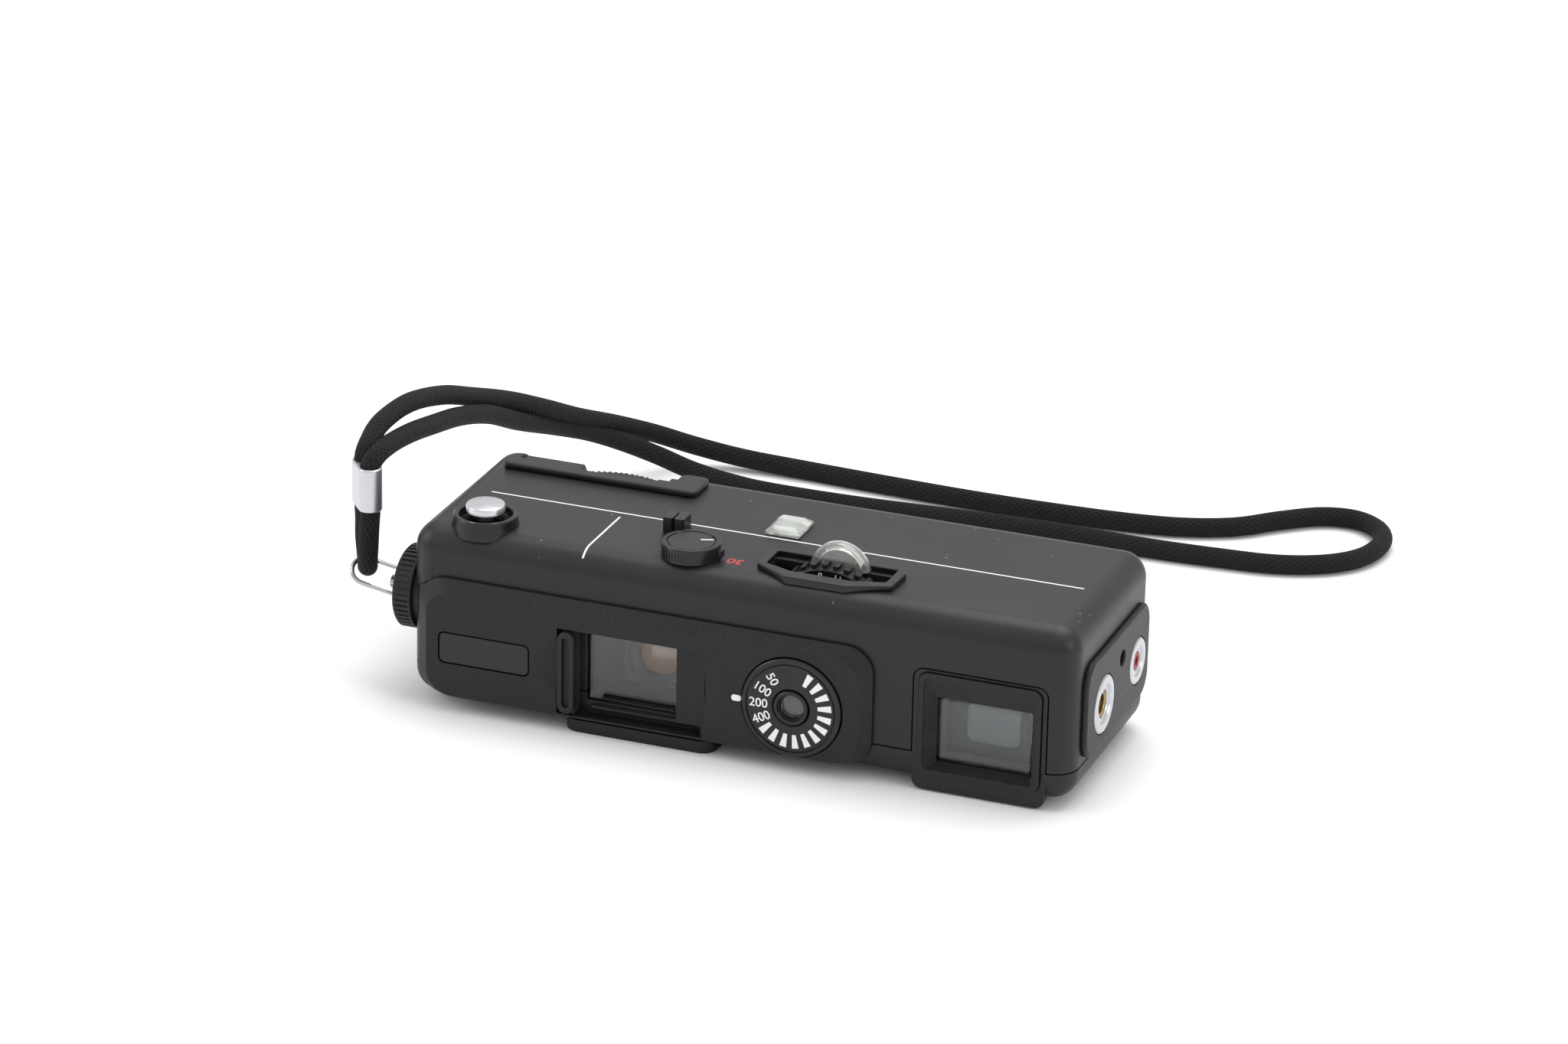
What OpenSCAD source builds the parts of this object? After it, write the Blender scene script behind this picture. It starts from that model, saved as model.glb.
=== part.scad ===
// Subminiature spy camera on a braided wrist strap.
// Millimetres. +X is right as seen from the front, the lens looks along -Y, +Z is up.
// The origin is the middle of the footprint, on the surface that the camera stands on.

/* [Body] */
// Width of the body from end to end
body_w = 108.4; // [106:0.2:112]
// Height of the body's top face above the ground
top_z = 29.4; // [29:0.1:30.4]
// Height of the pad under the body
pad_h = 1.2; // [1:0.1:1.6]
// Distance from the origin to the moulded front wall
front_y = 18; // [17.6:0.1:18.4]
// Distance from the origin to the rear wall
rear_y = 20; // [19.6:0.1:20.6]
// Thickness of the moulded walls
wall = 1.5; // [1.4:0.1:1.8]
// Radius that rounds the long edges
edge_r = 4; // [3:0.5:4.5]
// Height of the seam between the two shells
seam_z = 6.2; // [6:0.1:6.8]

/* [Front] */
// Thickness of the grained front panel
panel_t = 2; // [1.8:0.1:2.4]
// Length of the front panel
panel_w = 74.8; // [73:0.2:76]
// Travel of the lens cover from open to closed
cover_travel = 20; // [19:0.5:20.5]
// Radius of the film speed dial
asa_r = 8; // [7.5:0.1:8.4]

/* [Top] */
// Radius of the shutter button's cap
button_r = 3.05; // [2.8:0.05:3.2]
// Travel of the shutter button
button_travel = 1.2; // [0.8:0.1:1.3]
// Radius of the shutter speed dial's rim
speed_r = 4.6; // [4.2:0.1:4.8]
// Radius of the exposure wheel
expo_r = 10.6; // [10.2:0.1:10.8]
// Teeth round the exposure wheel
expo_teeth = 36; // [30:2:40]
// Radius of the thumb wheel that winds the film
wind_r = 13.3; // [13:0.1:13.4]
// Teeth round the thumb wheel
wind_teeth = 60; // [48:4:72]

/* [Underside] */
// Bore radius of the tripod bush's thread
tripod_r = 2.65; // [2.6:0.01:2.75]

/* [Ends] */
// Radius of the knurled battery cap
cap_r = 6.6; // [6.4:0.1:6.8]
// Ribs round the battery cap
cap_ribs = 40; // [32:4:44]
// Radius of the flash contact's bore
flash_r = 2.1; // [1.9:0.05:2.2]
// Radius of the release socket's bore
release_r = 1.5; // [1.3:0.05:1.6]

/* [Strap] */
// Diameter of the braided strap cord
cord_d = 3.2; // [3:0.1:3.4]
// Wire thickness of the strap's bail
bail_wire = 0.7; // [0.6:0.05:0.8]

/* [Hidden] */
$fn = 48;
eps = 0.01;
gap = 0.15;
half_w = body_w / 2;
inner_top = top_z - wall;
floor_z = pad_h + wall;

// Front panel and what sits in it
panel_x0 = -52.2;
panel_x1 = panel_x0 + panel_w;
panel_z0 = 2.4;
panel_z1 = 21.9;
panel_bevel = 1.8;
panel_face = -front_y - panel_t;
axis_z = 10.9;
window = [-24.6, -9, 4.9, 16.8];
slot_z = [3.3, 4.5];
grip_w = 2.8;
grip_x = -26.9;
grip_h = 13.6;
grip_z = 10.2;
dish_r = 5;
lens_x = -15.5;
lens_front = -9.5;
asa_x = 10.1;
asa_hub_r = 2.75;
cover_plate = [-46.1, -25.7, 3.2, 18];
cover_t = 0.6;
pocket_t = 0.9;

// Viewfinder
finder = [29.8, 49.3, 3, 19.6];
finder_block = [28.9, 50.1, 20, 0.3];
finder_glass = [32.3, 47.4, 4.6, 15.1];
finder_x = 40.3;
finder_z = 10.6;

// Top plate
button = [-43.6, -12.5];
speed = [-9.85, -11.6];
expo = [12.2, -9.6, 20.3];
jewel = [0.3, 4];
wind = [-32.5, 6.2];
counter = [-48.1, 9];
counter_bore = 0.8;
wind_z = [25.2, 27.8];
wind_slot = 7.4;
drum_r = 6.8;
bush_r = 4.5;
supply_x = 2 * lens_x - wind[0];
film_y = wind[1] + drum_r;

// Ends
cap_c = [-10.6, 16.2];
cap_x = -57.6;
plug_r = 5.75;
flash_c = [-5.3, 13.4];
release_c = [11.3, 13.9];
pin_hole = [3.2, 17.6];
pin_hole_r = 1.3;
end_t = 0.9;

// Film door
door = [-44, 25.5, 8.2, 24.2];
knuckle_z = [8.4, 12, 20.4, 24];
door_t = 1.4;
hinge_c = [27, 19.2];
knuckle_r = 1;
pin_r = 0.5;

// Strap: where it hangs, and the route of its cord round the loop
ferrule_c = [[-65.4, -9.7], [-63.2, -12.3]];
ferrule_z = [28.4, 35.6];
strap_route = [
    [-65.4, -9.7, 35.6], [-65.9, -7, 37], [-66.9, 0, 37.9], [-67.5, 12, 36.9],
    [-67.9, 26, 33.2], [-67.8, 38, 28.7], [-66.6, 50, 24], [-64.2, 60, 19.4],
    [-62, 69, 15], [-58.8, 78, 11], [-54.6, 85.6, 7.2], [-49, 90.6, 4],
    [-41, 92.8, 2.2], [-31, 93.2, 1.7], [-16, 92.4, 1.7], [0, 91.8, 1.7],
    [14, 92, 1.7], [27, 92.8, 1.7], [37, 94.6, 1.7], [45, 98.2, 1.7],
    [51, 103.8, 1.7], [57, 108.4, 1.7], [62.8, 109.4, 1.7], [67.6, 106.4, 1.7],
    [69.6, 101, 1.7], [68.2, 94, 1.7], [63.6, 88.8, 1.7], [56, 85.4, 1.7],
    [46, 84.2, 1.7], [34, 83.6, 1.7], [19, 84, 1.7], [4, 83.2, 1.7],
    [-16, 81.6, 1.7], [-31, 81.4, 1.7], [-39, 82, 1.9], [-46, 82, 3],
    [-52, 80.6, 5.4], [-57.2, 77, 8.4], [-61, 71.4, 11.6], [-63.8, 62.6, 15.4],
    [-65.2, 51.4, 20], [-65.8, 40, 25.2], [-65.6, 28, 29.2], [-65, 16, 32.2],
    [-64.2, 5, 34.8], [-63.6, -4, 36.3], [-63.2, -9.6, 36.6], [-63.2, -12.3, 35.6]
];
loop_route = [
    [-65.4, -9.7, 28.4], [-65.6, -9, 25.6], [-65.8, -8.6, 22.4], [-65.4, -9, 19.9],
    [-64.3, -11, 18.3], [-63.4, -13, 19.9], [-63, -13.6, 22.4], [-63, -13.2, 25.6], [-63.2, -12.3, 28.4]
];

// ---------------------------------------------------------------- helpers

// Box from its lowest to its highest corner
module span(lo, hi) {
    translate(lo) cube(hi - lo);
}

// Cylinder along Y, centred on x and z, from y0 to y1
module rod_y(x, z, y0, y1, r) {
    translate([x, y1, z]) rotate([90, 0, 0]) cylinder(h = y1 - y0, r = r);
}

// Cylinder along X, centred on y and z, from x0 to x1
module rod_x(y, z, x0, x1, r) {
    translate([x0, y, z]) rotate([0, 90, 0]) cylinder(h = x1 - x0, r = r);
}

// Cylinder along Z
module rod_z(x, y, z0, z1, r) {
    translate([x, y, z0]) cylinder(h = z1 - z0, r = r);
}

// Rounded rectangle in the plane
module plaque(x0, x1, y0, y1, r) {
    hull() for (x = [x0 + r, x1 - r], y = [y0 + r, y1 - r]) translate([x, y]) circle(r = r, $fn = 24);
}

// Upright plate that faces the front, with rounded corners
module plate_y(x0, x1, z0, z1, y0, y1, r) {
    translate([0, y1, 0]) rotate([90, 0, 0]) linear_extrude(y1 - y0) plaque(x0, x1, z0, z1, r);
}

// Upright plate that faces the right-hand end, with rounded corners
module plate_x(y0, y1, z0, z1, x0, x1, r) {
    translate([x0, 0, 0]) rotate([90, 0, 90]) linear_extrude(x1 - x0) plaque(y0, y1, z0, z1, r);
}

// Rounded column that makes one corner of the body
module corner_post(x, y, r, z0, z1, e) {
    translate([x, y, 0]) rotate_extrude($fn = 32) intersection() {
        translate([0, z0]) square([r, z1 - z0]);
        hull() for (z = [z0 + e, z1 - e]) translate([r - e, z]) circle(r = e, $fn = 32);
    }
}

// Body outline, drawn in by a wall thickness
module body_form(inset) {
    e = edge_r - inset;
    x = half_w - edge_r;
    hull() for (px = [-x, x], py = [edge_r - front_y, rear_y - edge_r])
        corner_post(px, py, e, pad_h + inset, top_z - inset, e - 0.2);
}

// Body outline with the straight seat behind the front panel
module outer_form() {
    body_form(0);
    plate_y(panel_x0, panel_x1, panel_z0, panel_z1, -front_y + eps, -front_y + wall + 0.3, 4.5);
}

// Wheel with square teeth on its rim, its axis along Z
module toothed(r, depth, teeth, h) {
    pitch = 2 * PI * r / teeth;
    difference() {
        cylinder(h = h, r = r);
        for (i = [0 : teeth - 1]) rotate(i * 360 / teeth)
            translate([r - depth, -pitch / 4, -eps]) cube([depth + 1, pitch / 2, h + 2 * eps]);
    }
}

// Unit vector and the two directions across it, for the swept cord
function unit(v) = v / norm(v);
function tangent(p, i) = unit(p[min(i + 1, len(p) - 1)] - p[max(i - 1, 0)]);
function side(t) = unit(cross(t, abs(t[2]) > 0.9 ? [1, 0, 0] : [0, 0, 1]));
function blend_pt(a, b, c, d, t) = 0.5 * (2 * b + (c - a) * t + (2 * a - 5 * b + 4 * c - d) * t * t
    + (3 * b - a - 3 * c + d) * t * t * t);
function at(p, i) = p[max(0, min(len(p) - 1, i))];
function smooth(p, n) = concat([for (i = [0 : len(p) - 2], k = [0 : n - 1])
    blend_pt(at(p, i - 1), p[i], p[i + 1], at(p, i + 2), k / n)], [p[len(p) - 1]]);
function carry(p, i) = i == 0 ? side(tangent(p, 0))
    : let (u = carry(p, i - 1), t = tangent(p, i)) unit(u - t * (u * t));

// Tube along a route: one ring of 8 corners at each point
module swept(route, d) {
    sides = 8;
    last = len(route) - 1;
    corners = [for (i = [0 : last]) let (t = tangent(route, i), u = carry(route, i), v = cross(t, u))
        for (k = [0 : sides - 1]) let (a = (k + 0.5) * 360 / sides)
            route[i] + (u * cos(a) + v * sin(a)) * d / 2 / cos(180 / sides)];
    walls = [for (i = [0 : last - 1], k = [0 : sides - 1]) let (n = (k + 1) % sides)
        [i * sides + k, i * sides + n, (i + 1) * sides + n, (i + 1) * sides + k]];
    start = [[for (k = [sides - 1 : -1 : 0]) k]];
    end = [[for (k = [0 : sides - 1]) last * sides + k]];
    polyhedron(corners, [for (f = concat(start, walls, end)) [for (j = [len(f) - 1 : -1 : 0]) f[j]]]);
}

// ---------------------------------------------------------------- cut-outs

// Room behind the panel for the sliding lens cover
module cover_pocket() {
    span([cover_plate[0] - gap, -front_y - 1, cover_plate[2] - gap],
        [cover_plate[1] + cover_travel + gap, -front_y + pocket_t, cover_plate[3] + gap]);
}

// Window through the front wall, in front of the lens
module window_cut(y0, y1) {
    span([window[0], y0, window[2]], [window[1], y1, window[3]]);
}

// Block that the viewfinder stands in, part of the lower shell
module finder_front() {
    plate_y(finder_block[0], finder_block[1], finder_block[3], finder_block[2],
        -front_y + eps, -front_y + wall + 0.3, 1.6);
    span([finder_block[0] + 2, -front_y + wall + 0.1, finder_block[3] + 0.1], [finder_block[1] - 2, -12, 1.7]);
}

// ---------------------------------------------------------------- shells

module top_shell() {
    color([0.25, 0.25, 0.27]) rod_z(counter[0], counter[1], wind_z[0] - 0.3, inner_top + 0.5, counter_bore - 0.05);
    color([0.25, 0.25, 0.27]) difference() {
        intersection() {
            outer_form();
            span([-80, -80, seam_z + gap / 2], [80, 80, 80]);
        }
        body_form(wall);
        cover_pocket();
        window_cut(-front_y - 1, -front_y + wall + 1);
        rod_y(asa_x, axis_z, -front_y - 1, -front_y + wall + 1, asa_r - 1.5);
        span([finder_block[0] - gap, -front_y - 1, 0],
            [finder_block[1] + gap, -front_y + wall + 1, finder_block[2] + gap]);
        rod_z(button[0], button[1], inner_top - 1, top_z + 1, button_r + 0.1);
        rod_z(speed[0], speed[1], inner_top - 1, top_z + 1, 1.6);
        span([expo[0] - 9.8, expo[1] - 3.6, inner_top - 1], [expo[0] + 9.7, expo[1] + 2.2, top_z + 1]);
        span([jewel[0] - 2.2, jewel[1] - 2.8, inner_top - 1], [jewel[0] + 2.2, jewel[1] + 2.8, top_z + 1]);
        rod_z(wind[0], wind[1], wind_z[0], wind_z[1] + 0.2, wind_r + 0.3);
        span([-49.6, 13, top_z - 0.97], [-22.6, rear_y + 1, top_z + 1]);
        span([wind[0] - wind_slot, wind[1] + 5.4, wind_z[0] - 0.3], [wind[0] + wind_slot, rear_y + 1, top_z + 1]);
        span([door[0], rear_y - wall - 1, door[2]], [28.4, rear_y + 1, door[3]]);
        rod_x(cap_c[0], cap_c[1], -half_w - 1, -half_w + wall + 1, plug_r + 0.1);
        rod_y(finder_x, finder_z, rear_y - wall - 1, rear_y + 1, 3.1);
        rod_x(flash_c[0], flash_c[1], half_w - wall - 1, half_w + 1, 3.2);
        rod_x(release_c[0], release_c[1], half_w - wall - 1, half_w + 1, 2.6);
        rod_x(pin_hole[0], pin_hole[1], half_w - wall - 1, half_w + 1, pin_hole_r);
    }
}

module base_shell() {
    color([0.22, 0.22, 0.24]) difference() {
        union() {
            difference() {
                intersection() {
                    outer_form();
                    span([-80, -80, 0], [80, 80, seam_z - gap / 2]);
                }
                body_form(wall);
            }
            finder_front();
        }
        cover_pocket();
        window_cut(-front_y - 1, -front_y + wall + 1);
        rod_y(asa_x, axis_z, -front_y - 1, -front_y + wall + 1, asa_r - 1.5);
        span([finder[0] - 0.1, -front_y - 1, finder[2] - 0.1], [finder[1] + 0.1, -front_y + wall + 1, finder[3] + 0.1]);
        rod_z(lens_x, 0, 0, floor_z + 1, bush_r + 0.1);
    }
}

// Grained panel with bevelled edges, its window, dial seat and the two thumb dishes
module front_panel() {
    color([0.3, 0.3, 0.32]) difference() {
        hull() {
            plate_y(panel_x0, panel_x1, panel_z0, panel_z1, -front_y - 0.6, -front_y - eps, 4.5);
            plate_y(panel_x0 + panel_bevel, panel_x1 - panel_bevel, panel_z0 + 0.4, panel_z1 - panel_bevel,
                panel_face, -front_y - 0.5, 3.6);
        }
        span([grip_x - 1.6, panel_face - 1, window[2] + 0.2], [window[1], -front_y + 1, window[3] + 0.2]);
        span([grip_x - 1.6, panel_face - 1, slot_z[0] - 0.2], [-5, -front_y + 1, slot_z[1] + 0.2]);
        span([grip_x - 1.6, panel_face - 1, grip_z - grip_h / 2 - 0.3], [grip_x + 4, -front_y + 1, 6]);
        span([grip_x - 1.6, panel_face - 1, grip_z - grip_h / 2 - 0.3], [-4.8, panel_face + 0.7, grip_z + grip_h / 2 + 0.3]);
        for (x = [grip_x + 0.2, grip_x + cover_travel + 0.6])
            translate([x, panel_face - 17.2, axis_z]) sphere(r = 18, $fn = 64);
        rod_y(asa_x, axis_z, panel_face - 1, -front_y + 1, asa_r + 0.2);
        plate_y(-48.4, -33.1, 8.2, 13.5, panel_face - 1, panel_face + 0.8, 1);
        plate_y(0.2, 2, axis_z - 0.6, axis_z + 0.6, panel_face - 1, panel_face + 0.3, 0.5);
    }
}

module name_plate() {
    color([0.28, 0.28, 0.31])
        plate_y(-48.2, -33.3, 8.4, 13.3, panel_face + 0.05, panel_face + 0.8, 0.9);
}

module index_mark() {
    color("white") plate_y(0.3, 1.9, axis_z - 0.5, axis_z + 0.5, panel_face - 0.05, panel_face + 0.3, 0.45);
}

// ---------------------------------------------------------------- lens and its cover

module lens_surround() {
    color([0.08, 0.08, 0.09]) difference() {
        span([window[0] - 1.2, -front_y + wall + 0.7, window[2] - 1.2], [window[1] + 1.2, lens_front, window[3] + 1.2]);
        span([window[0], -front_y, window[2]], [window[1], lens_front - 1.2, window[3]]);
        rod_y(lens_x, axis_z, -front_y, 0, 4.7);
    }
}

module lens_window() {
    color([0.5, 0.55, 0.6, 0.3])
        span([window[0] + gap, -front_y + wall - 0.3, window[2] + gap],
            [window[1] - gap, -front_y + wall + 0.6, window[3] - gap]);
}

// Plate that slides across the window, with the foot that runs in the slot
module lens_cover() {
    color([0.1, 0.1, 0.11]) {
        span([cover_plate[0], -front_y + 0.1, cover_plate[2]],
            [cover_plate[1], -front_y + 0.1 + cover_t, cover_plate[3]]);
        span([grip_x - 1.1, panel_face + 0.5, slot_z[0]], [cover_plate[1], -front_y + 0.11, slot_z[1]]);
    }
}

// Oval ring that the thumb pushes
module cover_grip() {
    color([0.3, 0.3, 0.32]) difference() {
        plate_y(grip_x - grip_w / 2, grip_x + grip_w / 2, grip_z - grip_h / 2, grip_z + grip_h / 2,
            panel_face - 0.5, panel_face + 0.5, 1.35);
        plate_y(grip_x - 0.55, grip_x + 0.55, grip_z - grip_h / 2 + 1, grip_z + grip_h / 2 - 1,
            panel_face - 1, panel_face + 1, 0.5);
    }
}

module lens_barrel() {
    color([0.12, 0.12, 0.13]) difference() {
        union() {
            rod_y(lens_x, axis_z, lens_front - 0.6, -2, 4.6);
            rod_y(lens_x, axis_z, -7.6, -2, 5.6);
        }
        rod_y(lens_x, axis_z, lens_front - 1, -7.5, 3.5);
        rod_y(lens_x, axis_z, -8, -1, 2.6);
        span([lens_x - 8, -7, axis_z - 4.4], [lens_x + 8, -6.1, axis_z + 8]);
    }
}

module front_lens() {
    color([0.6, 0.5, 0.4, 0.5]) intersection() {
        rod_y(lens_x, axis_z, lens_front, -7.55, 3.45);
        translate([lens_x, lens_front + 7.2, axis_z]) sphere(r = 7.2, $fn = 40);
    }
}

module rear_lens() {
    color([0.6, 0.6, 0.7, 0.5]) rod_y(lens_x, axis_z, -4.6, -2.4, 2.55);
}

// Thin blade on a pivot above the lens; two of them share the slot in the barrel
module blade(y, x) {
    hull() {
        rod_y(lens_x, axis_z, y, y + 0.2, 3.2);
        rod_y(x, axis_z + 7, y, y + 0.2, 1.4);
    }
}

module shutter_blade() {
    color([0.15, 0.15, 0.16]) blade(-6.9, lens_x - 4);
}

module aperture_blade() {
    color([0.5, 0.5, 0.52]) difference() {
        blade(-6.4, lens_x + 4);
        rod_y(lens_x, axis_z, -7, -6, 1.6);
    }
}

// ---------------------------------------------------------------- exposure meter and its dial

module asa_dial() {
    color([0.12, 0.12, 0.13]) difference() {
        union() {
            rod_y(asa_x, axis_z, panel_face - 0.35, panel_face + 1.2, asa_r);
            rod_y(asa_x, axis_z, panel_face + 1.1, -front_y + 3, 5.2);
        }
        rod_y(asa_x, axis_z, panel_face - 1, -front_y + 4, asa_hub_r + 0.1);
        rotate_ring(asa_x, axis_z, panel_face - 0.36, 6.9, 7.25, 0.25);
    }
}

// Shallow ring-shaped groove cut into a face that looks along -Y
module rotate_ring(x, z, y, r0, r1, depth) {
    translate([x, y + depth, z]) rotate([90, 0, 0]) difference() {
        cylinder(h = depth, r = r1);
        translate([0, 0, -1]) cylinder(h = depth + 2, r = r0);
    }
}

module cell_bezel() {
    color([0.1, 0.1, 0.11]) difference() {
        rod_y(asa_x, axis_z, panel_face - 0.6, -front_y + 3.4, asa_hub_r);
        rod_y(asa_x, axis_z, panel_face - 1, -front_y + 4, 1.9);
    }
}

module cell_lens() {
    color([0.6, 0.6, 0.62, 0.5]) rod_y(asa_x, axis_z, panel_face + 0.2, panel_face + 1.4, 1.85);
}

module photocell() {
    color([0.6, 0.3, 0.2]) rod_y(asa_x, axis_z, panel_face + 2, -front_y + 2, 1.8);
}

module circuit_board() {
    color([0.5, 0.35, 0.15]) span([-4, -13.6, floor_z], [26, -12.6, 8.4]);
}

module battery() {
    color([0.75, 0.75, 0.75]) {
        rod_x(cap_c[0], cap_c[1], -half_w + 3.8, -half_w + 7.6, 5.8);
        rod_x(cap_c[0], cap_c[1], -half_w + 2.4, -half_w + 3.9, 4.8);
    }
}

module battery_contact() {
    color([0.8, 0.65, 0.3]) {
        span([-half_w + 8.2, cap_c[0] - 4, cap_c[1] - 5], [-half_w + 8.6, cap_c[0] + 4, cap_c[1] + 5]);
        rod_x(cap_c[0], cap_c[1], -half_w + 7.62, -half_w + 8.21, 1.5);
    }
}

// ---------------------------------------------------------------- film path

module film_gate() {
    color([0.1, 0.1, 0.11]) difference() {
        span([lens_x - 9.5, 3, 4], [lens_x + 9.5, film_y - 0.2, 21]);
        span([lens_x - 7, 2, axis_z - 5.5], [lens_x + 7, film_y - 1.2, axis_z + 5.5]);
        span([lens_x - 6, 2, axis_z - 5], [lens_x + 6, film_y + 1, axis_z + 5]);
    }
}

module pressure_plate() {
    color([0.4, 0.4, 0.42]) {
        span([lens_x - 9, film_y + 0.3, 8.8], [lens_x + 9, film_y + 1, 19.6]);
        span([lens_x - 2, film_y + 0.99, 10], [lens_x + 2, rear_y - door_t, 14]);
    }
}

// Supply chamber, bridge and take-up chamber, in one piece
module film_cassette() {
    color([0.2, 0.2, 0.22]) difference() {
        union() {
            rod_z(supply_x, wind[1], 4.4, 21.6, drum_r - 0.2);
            rod_z(wind[0], wind[1], 4.4, 21.6, drum_r - 0.2);
            span([wind[0], film_y - 1, 2.75], [supply_x, film_y + 0.2, 3.95]);
            span([wind[0], film_y - 0.12, 20], [supply_x, film_y + 0.2, 21.6]);
        }
        rod_z(wind[0], wind[1], 0, 40, 2.6);
    }
}

module takeup_spool() {
    color([0.15, 0.15, 0.16]) {
        rod_z(wind[0], wind[1], 5, 22.4, 2.5);
        rod_z(wind[0], wind[1], 22.39, 23, 5);
    }
}

// ---------------------------------------------------------------- viewfinder

module viewfinder_bezel() {
    color([0.2, 0.2, 0.21]) difference() {
        union() {
            plate_y(finder[0], finder[1], finder[2], finder[3], -front_y - 0.4, -front_y + wall, 1.5);
            span([finder[0] + 0.8, -front_y + wall - eps, finder[2] + 0.8], [finder[1] - 0.3, -front_y + 3.4, finder[3] - 0.8]);
        }
        for (i = [0 : 3]) span([finder[0] + 0.9 + i * 0.35, -front_y - 2, finder[2] + 0.9 + i * 0.35],
            [finder[1] - 0.5 - i * 0.1, -front_y - 0.1 + i * 0.6, finder[3] - 0.9 - i * 0.55]);
        span([finder_glass[0], -front_y - 2, finder_glass[2]], [finder_glass[1], -front_y + 4, finder_glass[3]]);
    }
}

module finder_glass() {
    color([0.7, 0.72, 0.75, 0.3]) span([finder_glass[0] + 0.05, -front_y + 2, finder_glass[2] + 0.05],
        [finder_glass[1] - 0.05, -front_y + 3, finder_glass[3] - 0.05]);
}

module finder_objective() {
    color([0.7, 0.72, 0.75, 0.5])
        plate_y(finder_x - 4.4, finder_x + 4.4, finder_z - 3.4, finder_z + 3.4, -front_y + 5, -front_y + 7, 1.6);
}

module finder_tube() {
    color([0.1, 0.1, 0.11]) difference() {
        span([finder_x - 7.9, -front_y + 3.5, finder_z - 5.7], [finder_x + 7.6, rear_y - wall - 3, finder_z + 5.6]);
        span([finder_x - 6.9, -front_y + 3, finder_z - 4.7], [finder_x + 6.6, -front_y + 5.2, finder_z + 4.6]);
        span([finder_x - 6.9, -front_y + 6.8, finder_z - 4.7], [finder_x + 6.6, rear_y, finder_z + 4.6]);
        plate_y(finder_x - 4.4, finder_x + 4.4, finder_z - 3.4, finder_z + 3.4, -front_y + 5, -front_y + 7, 1.6);
    }
}

module eyepiece() {
    color([0.15, 0.15, 0.16]) difference() {
        union() {
            rod_y(finder_x, finder_z, rear_y - wall - 2.9, rear_y + 0.3, 3);
            rod_y(finder_x, finder_z, rear_y + 0.1, rear_y + 0.7, 4);
        }
        rod_y(finder_x, finder_z, rear_y - 0.4, rear_y + 1, 2.3);
    }
}

// ---------------------------------------------------------------- right-hand end

module end_panel() {
    color([0.3, 0.3, 0.32]) difference() {
        plate_x(-13.9, 17, 6.9, 22.4, half_w + 0.02, half_w + end_t, 3.5);
        rod_x(flash_c[0], flash_c[1], half_w - 1, half_w + 2, 4.75);
        rod_x(release_c[0], release_c[1], half_w - 1, half_w + 2, 3.85);
        rod_x(pin_hole[0], pin_hole[1], half_w - 1, half_w + 2, pin_hole_r);
    }
}

// Plain metal ring, flush with the end panel, round a socket
module socket_ring(c, r, neck) {
    difference() {
        union() {
            rod_x(c[0], c[1], half_w + 0.05, half_w + end_t + 0.1, r);
            rod_x(c[0], c[1], half_w - wall - 1.2, half_w + 0.06, neck);
        }
        rod_x(c[0], c[1], half_w - wall - 2, half_w + 2, neck - 1);
    }
}

module flash_ring() {
    color("silver") socket_ring(flash_c, 4.6, 3.15);
}

// Insulated contact inside the flash ring
module flash_contact() {
    color([0.8, 0.6, 0.3]) rod_x(flash_c[0], flash_c[1], half_w - wall - 4, half_w - 2.75, flash_r);
}

module release_ring() {
    color("silver") socket_ring(release_c, 3.7, 2.5);
}

module release_socket() {
    color([0.75, 0.25, 0.25])
        rod_x(release_c[0], release_c[1], half_w - wall - 4, half_w - 2.6, release_r - 0.05);
}

// ---------------------------------------------------------------- shutter release and speed dial

module shutter_collar() {
    color([0.12, 0.12, 0.13]) difference() {
        rod_z(button[0], button[1], top_z - 1.1, top_z + 1.8, 5.05);
        rod_z(button[0], button[1], top_z + 0.3, top_z + 3, 4.1);
        rod_z(button[0], button[1], top_z - 2, top_z + 1, button_r + 0.1);
        body_form(-0.02);
    }
}

module shutter_button() {
    color("silver") {
        rod_z(button[0], button[1], top_z + 2.1, top_z + 3.4, button_r);
        rod_z(button[0], button[1], top_z - 5, top_z + 2.11, 1.2);
        rod_z(button[0], button[1], top_z - 5.4, top_z - 4.9, 2.4);
    }
}

module button_spring() {
    color([0.7, 0.7, 0.7]) difference() {
        rod_z(button[0], button[1], top_z - 7.8, top_z - 5.45, 1.9);
        rod_z(button[0], button[1], top_z - 8, top_z - 5, 1.4);
    }
}

// Rim, pointer nub and the lever's two finger ridges
module speed_dial() {
    color([0.14, 0.14, 0.15]) {
        difference() {
            rod_z(speed[0], speed[1], top_z + 0.1, top_z + 2.4, speed_r);
            rod_z(speed[0], speed[1], top_z + 2, top_z + 3, 3.75);
        }
        rod_z(speed[0], speed[1], inner_top - 1.5, top_z + 0.11, 1.5);
        span([speed[0] + 4, speed[1] - 0.7, top_z + 0.5], [speed[0] + 5.2, speed[1] + 0.9, top_z + 1.7]);
        span([speed[0] - 6.75, speed[1] - 0.5, top_z + 0.1], [speed[0] - 3.1, speed[1] + 8.2, top_z + 1]);
        for (x = [-6.7, -4.8])
            span([speed[0] + x, speed[1] + 4.8, top_z + 0.99], [speed[0] + x + 1.6, speed[1] + 8.1, top_z + 3.4]);
    }
}

module speed_cap() {
    color([0.2, 0.2, 0.22]) rod_z(speed[0], speed[1], top_z + 2.02, top_z + 2.45, 3.6);
}

// ---------------------------------------------------------------- exposure wheel

module exposure_wheel() {
    color([0.1, 0.1, 0.11]) translate([expo[0], expo[1] + 1.4, expo[2]]) rotate([90, 0, 0]) difference() {
        toothed(expo_r, 0.7, expo_teeth, 2);
        translate([0, 0, -1]) cylinder(h = 4, r = 1.05);
    }
}

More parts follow.
